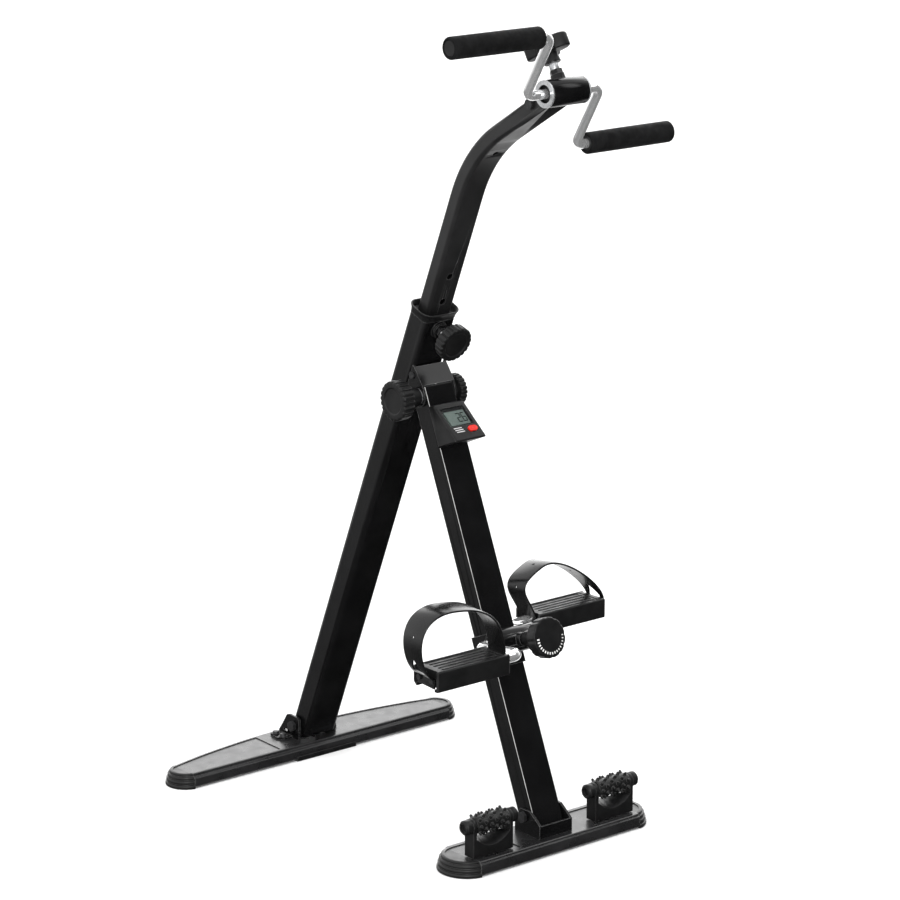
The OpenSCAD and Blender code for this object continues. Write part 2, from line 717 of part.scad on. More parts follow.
module front_foot_caps() color("#111213") translate([0, front_y, 0]) difference() {
    union() {
        linear_extrude(5) stadium(front_half, front_hd + 0.5);
        translate([0, 0, 5]) linear_extrude(5) stadium(front_half - 1, front_hd);
        translate([0, 0, 10]) linear_extrude(4) stadium(front_half - 2.5, front_hd - 1);
        translate([0, 0, 14]) linear_extrude(3) stadium(front_half - 5, front_hd - 3.5);
        translate([0, 0, 17]) linear_extrude(foot_top - 17) stadium(front_half - 8, front_hd - 6.5);
    }
    cube([2 * (front_half - 30), 200, 90], center = true);
}

module front_bracket() color("#141517") translate([0, front_y, 0]) difference() {
    union() {
        translate([-27, -24, foot_top]) cube([54, 48, 3]);
        translate([-27, -24, foot_top]) cube([54, 2.5, 17]);
        for (x = [-27, 24]) translate([x, 0, 0]) rotate([90, 0, 90]) linear_extrude(3)
            polygon([[-24, foot_top + 3], [24, foot_top + 3], [24, 32], [14, 52], [-4, 52],
                [-18, 42], [-24, foot_top + 17]]);
    }
    translate([0, front_bolt_y - front_y, front_bolt_z]) through_x(bolt_r + fit);
    for (x = [-base_screw_x, base_screw_x]) translate([x, 0, 0]) cylinder(h = 40, r = screw_r + 0.1);
}

module front_bracket_bolt() color("#b9bcc0") {
    translate([0, front_bolt_y, front_bolt_z]) {
        along_x(-27, 32, bolt_r);
        translate([-32, 0, 0]) rotate([0, 90, 0]) hex_head(7.5, 5);
        translate([27, 0, 0]) rotate([0, 90, 0]) difference() {
            hex_head(7.5, 6);
            translate([0, 0, -1]) cylinder(h = 8, r = bolt_r + fit);
        }
    }
    for (x = [-base_screw_x, base_screw_x]) translate([x, front_y, foot_top]) {
        translate([0, 0, -6]) cylinder(h = 9, r = screw_r);
        translate([0, 0, 3]) hex_head(5.5, 3.5);
    }
}

// Each stand is a block with a scoop that falls towards the user, and an eye on two thin arms.
module stand() difference() {
    union() {
        translate([-stand_half, -stand_hd, foot_top])
            cube([2 * stand_half, 2 * stand_hd, stand_top - foot_top]);
        both() {
            translate([stand_half - arm_t, -stand_hd, stand_top])
                cube([arm_t, 2 * stand_hd, roller_z - stand_top]);
            translate([0, 0, roller_z]) along_x(stand_half - arm_t, stand_half, eye_r);
        }
    }
    intersection() {
        translate([0, -stand_hd, scoop_low]) rotate([scoop_tilt, 0, 0]) translate([0, -50, scoop_r])
            rotate([-90, 0, 0]) cylinder(h = 100, r = scoop_r, $fn = 128);
        translate([arm_t - stand_half, -50, 0]) cube([2 * (stand_half - arm_t), 100, 100]);
    }
    translate([0, 0, roller_z]) through_x(axle_r + fit);
}

module roller_stands() color("#1c1d1f") for (x = [-roller_x, roller_x])
    translate([x, roller_y, 0]) stand();

// Each axle is a plain pin with a moulded knob on both ends, outside the stand.
module roller_axles() color("#1a1b1d") for (x = [-roller_x, roller_x])
    translate([x, roller_y, roller_z]) {
        along_x(-stand_half - 6, stand_half + 6, axle_r);
        both() difference() {
            union() {
                along_x(stand_half + 0.1, stand_half + 8, eye_r - 0.4);
                translate([stand_half + 8, 0, 0]) rotate([0, 90, 0])
                    cylinder(h = 2, r1 = eye_r - 0.4, r2 = eye_r - 2.4);
            }
            along_x(stand_half + 7, stand_half + 12, 5.5);
        }
    }

module roller_body() difference() {
    union() {
        along_x(-core_half, core_half, core_r);
        for (row = [0:5], i = [0:7]) translate([-21.5 + 8.6 * row, 0, 0])
            rotate([45 * i + 22.5 * (row % 2), 0, 0]) translate([0, 0, core_r - 1])
                cylinder(h = 5, r1 = 2.4, r2 = 1.1, $fn = 16);
    }
    through_x(axle_r + fit);
}

module roller_left() color("#1a1b1d") translate([-roller_x, roller_y, roller_z]) roller_body();

module roller_right() color("#1a1b1d") translate([roller_x, roller_y, roller_z]) roller_body();

// ---- counter ----
module in_console() in_leg() translate([0, -leg_d / 2, 0]) children();
module in_face() in_console() translate([0, -face_y, -face_z]) rotate([-face_tilt, 0, 0]) children();

module console() color("#1a1b1d") difference() {
    in_console() translate([-25, 0, 0]) rotate([90, 0, 90]) linear_extrude(50)
        polygon([[0, -16.5], [-7, -16.5], [-face_y, -face_z],
            [-face_y - face_len * sin(face_tilt), -face_z - face_len * cos(face_tilt)],
            [-face_y - face_len * sin(face_tilt), -70.5], [0, -70.5]]);
    in_console() translate([-22, 0, 0]) rotate([90, 0, 90]) linear_extrude(44)
        polygon([[1, -21], [-6, -21], [-28, -62], [-28, -67], [1, -67]]);
    in_face() translate([-19, -0.8, -35]) cube([38, 2, 30]);
    in_face() translate([-16, -1, -33.5]) cube([32, 12, 23]);
    in_face() translate([11.5, 0, -42.5]) rotate([90, 0, 0]) translate([0, 0, -12])
        linear_extrude(20) button_plan(0.15);
}

module button_plan(grow) {
    square([6, 8 + 2 * grow], center = true);
    for (x = [-3, 3]) translate([x, 0]) circle(4 + grow);
}

module console_lens() color("#30363a") in_face() translate([-18.95, -0.75, -34.95])
    cube([37.9, 1.5, 29.9]);

module console_lcd() color("#9aa59c") in_face() {
    translate([-15.5, 0.9, -33]) cube([31, 2.2, 22]);
    translate([-15.5, 3.1, -33]) cube([31, 1.2, 22]);
}

module reset_button() color("#d8251d") in_face() translate([11.5, 0, -42.5])
    rotate([90, 0, 0]) translate([0, 0, -4]) linear_extrude(5.6) button_plan(0);

main_post();
post_collar();
post_end_plug();
hinge_bracket();
hinge_stop_bolt();
lock_knob();
lock_screw();
hinge_bolt();
hinge_washers();
hinge_knob_left();
hinge_knob_right();
rear_foot();
rear_foot_caps();
rear_foot_pad();
rear_bracket();
rear_bracket_bolt();
rear_flange_screws();
mast();
mast_glide();
mast_end_bolt();
hand_housing();
hand_housing_rings();
hand_bearings();
hand_friction_shoe();
hand_tension_screw();
hand_tension_knob();
hand_crank();
grip_left();
grip_right();
grip_core_left();
grip_core_right();
front_leg();
leg_top_plug();
leg_saddle();
leg_saddle_screws();
foot_housing();
foot_bearings();
foot_friction_shoe();
foot_tension_screw();
foot_tension_knob();
foot_knob_dial();
foot_crank();
pedal_left();
pedal_right();
strap_left();
strap_right();
strap_pins_left();
strap_pins_right();
front_foot();
front_foot_caps();
front_bracket();
front_bracket_bolt();
roller_stands();
roller_axles();
roller_left();
roller_right();
console();
console_lens();
console_lcd();
reset_button();
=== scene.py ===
"""Looks of the folding pedal exerciser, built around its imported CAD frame.

Sizes inside the pieces are in millimetres, in the local axes of the place they belong to.
On the post and the leg (LOCK and LEG) X runs along the crank axles, -Y faces the user and Z
runs up the tube. Turned parts such as knobs, grips and rollers have Z along their own axis.
"""

import json
import math

import bmesh
import bpy
from mathutils import Matrix, Vector


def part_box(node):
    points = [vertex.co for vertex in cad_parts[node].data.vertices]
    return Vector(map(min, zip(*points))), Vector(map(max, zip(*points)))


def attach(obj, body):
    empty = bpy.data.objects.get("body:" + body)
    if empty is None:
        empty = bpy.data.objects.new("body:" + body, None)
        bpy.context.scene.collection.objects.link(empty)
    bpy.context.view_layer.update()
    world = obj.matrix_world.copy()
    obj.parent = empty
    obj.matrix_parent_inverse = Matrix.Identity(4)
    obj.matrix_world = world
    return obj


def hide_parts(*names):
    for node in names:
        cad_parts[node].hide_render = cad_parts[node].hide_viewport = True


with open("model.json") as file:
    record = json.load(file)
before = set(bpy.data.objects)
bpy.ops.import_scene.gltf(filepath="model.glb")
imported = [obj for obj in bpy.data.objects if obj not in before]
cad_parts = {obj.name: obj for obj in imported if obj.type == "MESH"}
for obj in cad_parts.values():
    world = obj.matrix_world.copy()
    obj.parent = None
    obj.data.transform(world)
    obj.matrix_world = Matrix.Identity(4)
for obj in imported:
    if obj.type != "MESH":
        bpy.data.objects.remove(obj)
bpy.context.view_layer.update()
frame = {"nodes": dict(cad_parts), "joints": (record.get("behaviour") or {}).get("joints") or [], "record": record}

MM = 0.001
X_AXIS = Vector((1, 0, 0))
JOINTS = {j["name"]: j for j in frame["joints"]}
NODES = frame["nodes"]


# ---------------------------------------------------------------- places
def joint_pos(name):
    """Where a joint stands in the frame, in metres."""
    return Vector(JOINTS[name]["pos_m"])


def place(origin, y_axis):
    """A local frame in metres: X along the axles, Y as given, Z = X x Y."""
    y = Vector(y_axis).normalized()
    z = X_AXIS.cross(y)
    rotation = Matrix((X_AXIS, y, z)).transposed().to_4x4()
    return Matrix.Translation(origin) @ rotation


# The foot tension screw dips this far below the front leg's normal.
SCREW_DIP = math.radians(6.5)
POST_BACK = -Vector(JOINTS["lock_knob_turn"]["axis"])
LEG_BACK = Matrix.Rotation(-SCREW_DIP, 3, "X") @ -Vector(JOINTS["foot_tension_turn"]["axis"])
LEG = place(joint_pos("leg_fold"), LEG_BACK)
LOCK = place(joint_pos("lock_knob_turn"), POST_BACK)


# ---------------------------------------------------------------- materials
class Surface:
    """A procedural material built on one Principled shader, in object coordinates."""

    def __init__(self, name, colour, roughness, metallic=0.0, specular=0.5):
        self.material = bpy.data.materials.new(name)
        self.material.use_nodes = True
        self.tree = self.material.node_tree
        self.shader = self.tree.nodes["Principled BSDF"]
        self.coords = self.node("ShaderNodeTexCoord").outputs["Object"]
        self.colour_out = colour
        self.put("Base Color", (*colour, 1))
        self.put("Roughness", roughness)
        self.put("Metallic", metallic)
        self.put("Specular IOR Level", specular)
        self.height = None

    def node(self, kind, **settings):
        made = self.tree.nodes.new(kind)
        for key, value in settings.items():
            setattr(made, key, value)
        return made

    def link(self, a, b):
        self.tree.links.new(a, b)

    def put(self, socket, value):
        self.shader.inputs[socket].default_value = value

    def noise(self, scale, detail=3.0):
        made = self.node("ShaderNodeTexNoise")
        made.inputs["Scale"].default_value = scale
        made.inputs["Detail"].default_value = detail
        made.inputs["Roughness"].default_value = 0.55
        self.link(self.coords, made.inputs["Vector"])
        return made.outputs["Fac"]

    def remap(self, value, low, high, from_low=0.3, from_high=0.7):
        """Maps a value's range to another; the usual range is where noise spends its time."""
        made = self.node("ShaderNodeMapRange")
        made.inputs["From Min"].default_value = from_low
        made.inputs["From Max"].default_value = from_high
        made.inputs["To Min"].default_value = low
        made.inputs["To Max"].default_value = high
        self.link(value, made.inputs["Value"])
        return made.outputs["Result"]

    def mix(self, factor, a, b):
        made = self.node("ShaderNodeMix", data_type="RGBA")
        self.link(factor, made.inputs["Factor"])
        for socket, value in ((made.inputs[6], a), (made.inputs[7], b)):
            if isinstance(value, tuple):
                socket.default_value = (*value, 1)
            else:
                self.link(value, socket)
        return made.outputs[2]

    def multiply(self, a, b):
        made = self.node("ShaderNodeMath", operation="MULTIPLY")
        self.link(a, made.inputs[0])
        self.link(b, made.inputs[1])
        return made.outputs["Value"]

    def paint_over(self, mask, colour):
        """Lays a colour over what is there, where the mask is white."""
        self.colour_out = self.mix(mask, self.colour_out, colour)
        self.link(self.colour_out, self.shader.inputs["Base Color"])
        return self

    def vary_colour(self, other, scale):
        """Cloudy variation between the base colour and another one."""
        return self.paint_over(self.remap(self.noise(scale), 0, 1, 0.35, 0.65), other)

    def vary_roughness(self, low, high, scale):
        self.link(self.remap(self.noise(scale), low, high), self.shader.inputs["Roughness"])
        return self

    def bump(self, scale, distance, detail=2.0, kind="noise"):
        """Adds one layer of relief, in millimetres of height."""
        if kind == "noise":
            value = self.noise(scale, detail)
        else:
            cells = self.node("ShaderNodeTexVoronoi")
            cells.inputs["Scale"].default_value = scale
            self.link(self.coords, cells.inputs["Vector"])
            value = cells.outputs["Distance"]
        made = self.node("ShaderNodeBump")
        made.inputs["Strength"].default_value = 1.0
        made.inputs["Distance"].default_value = distance * MM
        self.link(value, made.inputs["Height"])
        if self.height:
            self.link(self.height, made.inputs["Normal"])
        self.height = made.outputs["Normal"]
        self.link(self.height, self.shader.inputs["Normal"])
        return self

    def edge_wear_and_highlight(self, colour, radius, amount=0.6, patch_scale=90):
        """Lighter edges, partly rubbed wear and partly a painted highlight line along them: the mask is where a
        rounded normal leaves the true one.
        """
        bevel = self.node("ShaderNodeBevel", samples=6)
        bevel.inputs["Radius"].default_value = radius * MM
        geometry = self.node("ShaderNodeNewGeometry")
        dot = self.node("ShaderNodeVectorMath", operation="DOT_PRODUCT")
        self.link(bevel.outputs["Normal"], dot.inputs[0])
        self.link(geometry.outputs["Normal"], dot.inputs[1])
        edge = self.remap(dot.outputs["Value"], 1.0, 0.0, 0.86, 0.992)
        patches = self.remap(self.noise(patch_scale, 4), amount * 0.4, amount, 0.35, 0.7)
        return self.paint_over(self.multiply(edge, patches), colour)

    def painted_corner_glint(self, colour):
        """A painted highlight: a thin bright line down a tube's rounded corners, on the side that faces -X, where
        a light would glint.
        """
        parts = self.node("ShaderNodeSeparateXYZ")
        self.link(self.node("ShaderNodeNewGeometry").outputs["Normal"], parts.inputs[0])
        facing = parts.outputs["X"]
        rise = self.remap(facing, 1.0, 0.0, -0.62, -0.54)
        fall = self.remap(facing, 0.0, 1.0, -0.9, -0.82)
        patches = self.remap(self.noise(30, 3), 0.55, 1.0, 0.35, 0.6)
        return self.paint_over(self.multiply(self.multiply(rise, fall), patches), colour)


def gloss_black(name):
    s = Surface(name, (0.0032, 0.0032, 0.0034), 0.16, specular=0.3)
    s.vary_colour((0.0052, 0.0052, 0.0055), 22)
    s.vary_roughness(0.1, 0.2, 35)
    return s.bump(420, 0.012).bump(45, 0.03)


def gloss_black_paint():
    # The light grey edge colour is mostly a painted highlight line along the tubes' edges, with a little wear.
    return gloss_black("gloss black powder coat").edge_wear_and_highlight((0.2, 0.2, 0.2), 1.3, 0.85).material


def leg_paint():
    # The front leg's -X corners carry a painted glint line, not wear.
    return gloss_black("gloss black leg paint with painted glint").painted_corner_glint((0.75, 0.75, 0.74)).material


def mast_paint():
    s = Surface("semi gloss mast paint", (0.009, 0.009, 0.0092), 0.34, specular=0.5)
    s.vary_colour((0.0135, 0.0135, 0.014), 22)
    s.vary_roughness(0.3, 0.42, 35)
    s.bump(420, 0.012).bump(45, 0.03)
    return s.edge_wear_and_highlight((0.16, 0.16, 0.16), 1.0, 0.8).material


def satin_foot_paint():
    s = Surface("satin foot paint", (0.009, 0.009, 0.0094), 0.3)
    s.vary_colour((0.015, 0.015, 0.0156), 30)
    s.vary_roughness(0.24, 0.36, 60)
    s.bump(900, 0.02).bump(60, 0.03)
    return s.edge_wear_and_highlight((0.2, 0.2, 0.2), 1.2, 0.8).material


def moulded_plastic():
    s = Surface("moulded black plastic", (0.0045, 0.0045, 0.0047), 0.36, specular=0.35)
    s.vary_colour((0.0075, 0.0075, 0.0077), 60)
    s.vary_roughness(0.33, 0.5, 90)
    s.bump(1400, 0.03, detail=4).bump(130, 0.02)
    return s.edge_wear_and_highlight((0.11, 0.11, 0.11), 1.0, 0.8, 120).material


def bearing_plastic():
    s = Surface("dark nylon", (0.007, 0.007, 0.0073), 0.45, specular=0.3)
    s.vary_colour((0.012, 0.012, 0.0125), 80)
    s.vary_roughness(0.38, 0.52, 120)
    return s.bump(900, 0.015).material


def chrome():
    s = Surface("chromed rod", (0.98, 0.982, 0.985), 0.08, metallic=0.82)
    s.vary_colour((0.92, 0.925, 0.93), 40)
    s.vary_roughness(0.045, 0.13, 70)
    return s.bump(700, 0.003).bump(60, 0.012).material


def zinc():
    s = Surface("zinc plated steel", (0.7, 0.71, 0.72), 0.26, metallic=0.8)
    s.vary_colour((0.52, 0.53, 0.545), 160)
    s.vary_roughness(0.2, 0.4, 220)
    s.bump(1500, 0.008)
    return s.edge_wear_and_highlight((0.8, 0.8, 0.81), 0.3, 0.8, 300).material


def black_rubber():
    s = Surface("black rubber", (0.0048, 0.0048, 0.005), 0.34, specular=0.4)
    s.vary_colour((0.009, 0.0089, 0.0088), 45)
    s.vary_roughness(0.28, 0.44, 80)
    s.bump(1800, 0.02, detail=4).bump(200, 0.02)
    return s.edge_wear_and_highlight((0.12, 0.12, 0.12), 1.0, 0.8, 120).material


def foam():
    s = Surface("closed-cell foam", (0.0036, 0.0036, 0.0038), 0.7, specular=0.16)
    s.vary_colour((0.0075, 0.0075, 0.0078), 70)
    s.vary_roughness(0.62, 0.85, 150)
    s.bump(2600, 0.05, kind="cells").bump(500, 0.05, detail=4)
    return s.material


def strap_rubber():
    s = Surface("strap rubber", (0.0042, 0.0042, 0.0044), 0.2, specular=0.5)
    s.vary_colour((0.0075, 0.0075, 0.0077), 35)
    s.vary_roughness(0.14, 0.28, 50)
    s.bump(1200, 0.02, detail=3).bump(90, 0.06)
    return s.edge_wear_and_highlight((0.12, 0.12, 0.12), 0.8, 0.7, 120).material


def friction_lining():
    s = Surface("friction lining", (0.14, 0.1, 0.065), 0.8)
    s.vary_colour((0.09, 0.065, 0.045), 300)
    return s.bump(900, 0.08, detail=5).material


def white_print():
    s = Surface("white print", (0.78, 0.78, 0.77), 0.5)
    s.vary_colour((0.62, 0.62, 0.61), 260)
    return s.bump(1200, 0.01).material


def red_plastic():
    s = Surface("red button plastic", (0.66, 0.02, 0.012), 0.25)
    s.vary_colour((0.55, 0.015, 0.01), 120)
    s.vary_roughness(0.18, 0.32, 200)
    return s.bump(800, 0.01).material


def lcd_glass():
    s = Surface("display cell", (0.13, 0.168, 0.154), 0.22, specular=0.08)
    s.vary_colour((0.15, 0.19, 0.172), 60)
    s.vary_roughness(0.16, 0.28, 150)
    return s.bump(1500, 0.003).material


def lcd_ink():
    s = Surface("display ink", (0.008, 0.01, 0.01), 0.5, specular=0.05)
    s.vary_colour((0.02, 0.026, 0.024), 400)
    return s.bump(900, 0.002).material


def grey_print():
    s = Surface("grey print", (0.55, 0.55, 0.55), 0.45)
    s.vary_colour((0.42, 0.42, 0.42), 300)
    return s.bump(1200, 0.005).material


def smoked_lens():
    s = Surface("smoked lens", (0.02, 0.022, 0.024), 0.08)
    s.vary_roughness(0.05, 0.14, 120)
    s.bump(300, 0.004)
    s.put("Alpha", 0.1)
    return s.material


def dark_bolt():
    s = Surface("blackened bolt", (0.03, 0.03, 0.031), 0.32, metallic=0.6)
    s.vary_colour((0.05, 0.05, 0.052), 180)
    s.vary_roughness(0.26, 0.42, 240)
    return s.bump(1300, 0.01).material


def spring_steel():
    # The pale, mostly diffuse base is partly the steel's own grey and partly a painted reflection standing in for
    # the screw's bright glints.
    s = Surface("spring steel with painted reflection", (0.8, 0.8, 0.81), 0.22, metallic=0.25)
    s.vary_colour((0.55, 0.555, 0.56), 260)
    s.vary_roughness(0.16, 0.34, 260)
    return s.bump(1400, 0.01).material


MATERIALS = {
    "gloss_black_paint": gloss_black_paint(),
    "grey_paint": satin_foot_paint(),
    "black_plastic": moulded_plastic(),
    "bearing_plastic": bearing_plastic(),
    "chrome_rod": chrome(),
    "zinc_steel": zinc(),
    "black_rubber": black_rubber(),
    "foam": foam(),
    "strap_rubber": strap_rubber(),
    "friction_lining": friction_lining(),
    "white_print": white_print(),
    "smoked_lens": smoked_lens(),
    "lcd": lcd_glass(),
    "red_button": red_plastic(),
}


# ---------------------------------------------------------------- CAD nodes
SLOT_OF = {s["node"]: s["material_slot"] for s in frame["record"]["subparts"]}
EDGE_WIDTHS = {"front_leg": 0.8, "main_post": 0.5, "leg_saddle": 0.8}
DEFAULT_EDGE_WIDTH = 0.35
DARK_BOLTS = (
    "hinge_stop_bolt", "mast_end_bolt", "rear_bracket_bolt", "front_bracket_bolt",
    "rear_flange_screws", "strap_pins_left", "strap_pins_right",
)
OTHER_MATERIAL = {"lock_screw": spring_steel(), "mast": mast_paint(), "front_leg": leg_paint()}
OTHER_MATERIAL.update(dict.fromkeys(DARK_BOLTS, dark_bolt()))
SMOOTH_ONLY = {"hand_crank", "foot_crank", "mast", "roller_left", "roller_right"}


def round_edges(thing, width, angle, harden_normals=False):
    """Rounds every edge sharper than an angle, as a modifier that leaves the mesh alone."""
    bevel = thing.modifiers.new("Round edges", "BEVEL")
    bevel.width = width * MM
    bevel.segments = 2
    bevel.limit_method = "ANGLE"
    bevel.angle_limit = math.radians(angle)
    bevel.harden_normals = harden_normals


def finish_cad_node(name, node):
    """Gives a CAD node its material and rounds its sharp edges without touching its mesh."""
    node.data.materials.clear()
    node.data.materials.append(OTHER_MATERIAL.get(name) or MATERIALS[SLOT_OF[name]])
    weld = node.modifiers.new("Weld", "WELD")
    weld.merge_threshold = 0.002 * MM
    if name not in SMOOTH_ONLY:
        round_edges(node, EDGE_WIDTHS.get(name, DEFAULT_EDGE_WIDTH), 35, harden_normals=True)


for cad_name, cad_node in NODES.items():
    finish_cad_node(cad_name, cad_node)


# ---------------------------------------------------------------- mesh helpers
def aimed(origin, z_axis, x_axis=X_AXIS):
    """A frame in metres whose Z points along z_axis, with X as near x_axis as it can be."""
    z = Vector(z_axis).normalized()
    x = Vector(x_axis)
    x = (x - z * x.dot(z)).normalized()
    return Matrix.Translation(origin) @ Matrix((x, z.cross(x), z)).transposed().to_4x4()


def bridge(a, b):
    """Faces between two rings of indices; a ring of one index is a pole."""
    n = max(len(a), len(b))
    faces = []
    for i in range(n):
        j = (i + 1) % n
        quad = [a[i % len(a)], a[j % len(a)], b[j % len(b)], b[i % len(b)]]
        faces.append(tuple(dict.fromkeys(quad)))
    return faces


def fillet(corners, steps=5):
    """A path through (x, y, radius) corners, with each radius turned into an arc."""
    path = []
    count = len(corners)
    for i, (x, y, radius) in enumerate(corners):
        here = Vector((x, y))
        if radius <= 0 or i in (0, count - 1):
            path.append(here)
            continue
        before = (Vector(corners[i - 1][:2]) - here).normalized()
        after = (Vector(corners[i + 1][:2]) - here).normalized()
        half = before.angle(after) / 2
        run = radius / math.tan(half)
        centre = here + (before + after).normalized() * (radius / math.sin(half))
        first = here + before * run - centre
        last = here + after * run - centre
        turn = first.angle_signed(last)
        for k in range(steps + 1):
            a = -turn * k / steps
            path.append(centre + Vector((
                first.x * math.cos(a) - first.y * math.sin(a),
                first.x * math.sin(a) + first.y * math.cos(a),
            )))
    return path


def lathe(profile, sides=96, wave=None, closed=False):
    """Turns (radius, height) points about Z; wave(angle, radius) is added to the radius."""
    verts, rings, faces = [], [], []
    for radius, height in profile:
        first = len(verts)
        if radius < 1e-4:
            verts.append((0, 0, height))
            rings.append([first])
            continue
        for i in range(sides):
            a = math.tau * i / sides
            r = radius + (wave(a, radius) if wave else 0)
            verts.append((r * math.cos(a), r * math.sin(a), height))
        rings.append(list(range(first, first + sides)))
    for lower, upper in zip(rings, rings[1:]):
        faces += bridge(lower, upper)
    if closed:
        faces += bridge(rings[-1], rings[0])
    return verts, faces


def stack(rings, closed=False):
    """Joins rings of 3-D points of one length, as a loop or with a flat cap on each end."""
    verts = [p for ring in rings for p in ring]
    n = len(rings[0])
    index = [list(range(k * n, k * n + n)) for k in range(len(rings))]
    faces = []
    for lower, upper in zip(index, index[1:]):
        faces += bridge(lower, upper)
    if closed:
        faces += bridge(index[-1], index[0])
    else:
        faces += [tuple(reversed(index[0])), tuple(index[-1])]
    return verts, faces


def rounded_rectangle(w, d, r, steps=6):
    """Outline points, anticlockwise."""
    points = []
    for k, (sx, sy) in enumerate(((1, 1), (-1, 1), (-1, -1), (1, -1))):
        for i in range(steps + 1):
            a = math.radians(90 * (k + i / steps))
            points.append((sx * (w / 2 - r) + r * math.cos(a), sy * (d / 2 - r) + r * math.sin(a)))
    return points


def merged(*shapes):
    """One (verts, faces) pair from several."""
    verts, faces = [], []
    for v, f in shapes:
        base = len(verts)
        verts += list(v)
        faces += [tuple(base + i for i in face) for face in f]
    return verts, faces


def moved(shape, matrix):
    """A shape turned and shifted by a matrix in millimetres."""
    return [tuple(matrix @ Vector(v)) for v in shape[0]], shape[1]


def add_piece(name, shape, where, slot_name, body, replaces=(), smooth_angle=40, material=None):
    """Makes a piece from millimetre points in the axes of `where`, riding on a body."""
    mesh = bpy.data.meshes.new(name)
    mesh.from_pydata([tuple(where @ (Vector(v) * MM)) for v in shape[0]], [], shape[1])
    tidy = bmesh.new()
    tidy.from_mesh(mesh)
    bmesh.ops.remove_doubles(tidy, verts=tidy.verts, dist=0.004 * MM)
    bmesh.ops.recalc_face_normals(tidy, faces=tidy.faces)
    tidy.to_mesh(mesh)
    tidy.free()
    mesh.shade_smooth()
    mesh.set_sharp_from_angle(angle=math.radians(smooth_angle))
    piece = bpy.data.objects.new(name, mesh)
    bpy.context.scene.collection.objects.link(piece)
    mesh.materials.append(material or MATERIALS[slot_name])
    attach(piece, body)
    if replaces:
        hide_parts(*replaces)
    return piece


# ---------------------------------------------------------------- knobs
def fluted_knob(hub, rim_radius, rim_start, rim_end, flutes, depth, face):
    """A moulded clamp knob along Z: a tapered hub, a fluted rim and a dished or flat face."""
    rim_edge = 1.8
    corners = [
        (0, 0.02, 0), (hub[0], 0, 0.8), (hub[1], rim_start, 1.2),
        (rim_radius - 1, rim_start, rim_edge), (rim_radius, rim_end, rim_edge + 0.6),
    ]
    corners += face + [(0, face[-1][1], 0)]

    def wave(angle, radius):
        if radius < rim_radius - 3.5:
            return 0
        groove = max(0.0, math.cos(flutes * angle) - 0.25) / 0.75
        return -depth * groove ** 0.8

    return lathe(fillet(corners, 6), flutes * 10, wave)


def dish(radius, top):
    """Face corners of a knob whose middle is a shallow dish."""
    return [(radius, top, 0.6), (radius - 1.3, top - 1.3, 0.9)]


# Heights of the knobs' hubs above the joint or axle that each one is placed from.
LOCK_KNOB_FROM_POST = 20
HINGE_KNOB_FROM_MIDDLE = 28.5
FOOT_KNOB_FROM_AXLE = 29


def knobs():
    """The clamp knobs of the lock, the hinge and the foot crank, and the hand tension knob."""
    lock = aimed(joint_pos("lock_knob_turn"), JOINTS["lock_knob_turn"]["axis"])
    shape = fluted_knob(
        hub=(11, 14), rim_radius=24.5, rim_start=4, rim_end=19, flutes=20, depth=1.6,
        face=dish(17.5, 19),
    )
    shape = moved(shape, Matrix.Translation((0, 0, LOCK_KNOB_FROM_POST)))
    add_piece("lock_knob_grip", shape, lock, "black_plastic", "lock_knob", ["lock_knob"])
    hinge = joint_pos("leg_fold")
    for side, hub, face, rim in ((-1, 21, 39, 26), (1, 1, 11, 21.5)):
        name = "hinge_knob_left" if side < 0 else "hinge_knob_right"
        shape = fluted_knob(
            hub=(12, 15), rim_radius=rim, rim_start=hub, rim_end=face, flutes=22, depth=1.9,
            face=dish(rim - 8.5, face),
        )
        outer = hinge + X_AXIS * (side * HINGE_KNOB_FROM_MIDDLE * MM)
        where = aimed(outer, X_AXIS * side, (0, 0, 1))
        add_piece(name + "_grip", shape, where, "black_plastic", name, [name])
    foot_axis = aimed(joint_pos("foot_crank_spin"), JOINTS["foot_tension_turn"]["axis"])
    flat_face = [(20, 44, 0.3), (19.5, 44.01, 0)]
    shape = fluted_knob(
        hub=(10.5, 14), rim_radius=26, rim_start=28, rim_end=44, flutes=12, depth=0.9,
        face=flat_face,
    )
    shape = moved(shape, Matrix.Translation((0, 0, FOOT_KNOB_FROM_AXLE)))
    add_piece("foot_tension_grip", shape, foot_axis, "black_plastic", "foot_tension_knob",
        ["foot_tension_knob"])
    star_knob()


def star_knob():
    """Four-lobed hand knob on a tapered hub, with heights above the hand crank's axle."""
    start, end = 37.3, 56
    waist, reach, first_lobe = 16.2, 11.8, math.radians(36)
    hub_profile = [(0, start, 0), (10.5, start, 0.8), (9, 51, 0.5), (9, end, 0), (0, end, 0)]
    hub = lathe(fillet(hub_profile), 72)

    def outline(inset):
        points = []
        for i in range(160):
            a = math.tau * i / 160
            lobe = 0.5 + 0.5 * math.cos(4 * (a - first_lobe))
            radius = waist + reach * lobe ** 0.8 - inset
            points.append((radius * math.cos(a), radius * math.sin(a)))
        return points

    profile = fillet([
        (12, 50, 0), (0, 50, 2.4), (0, 68, 3.4), (9, 68, 0.8), (10, 67.2, 0.8), (15.9, 67.2, 0),
    ])
    rings = [[(x, y, p.y) for x, y in outline(p.x)] for p in profile]
    where = aimed(joint_pos("hand_crank_spin"), JOINTS["hand_tension_turn"]["axis"])
    add_piece("hand_tension_grip", merged(hub, stack(rings)), where, "black_plastic",
        "hand_tension_knob", ["hand_tension_knob"])


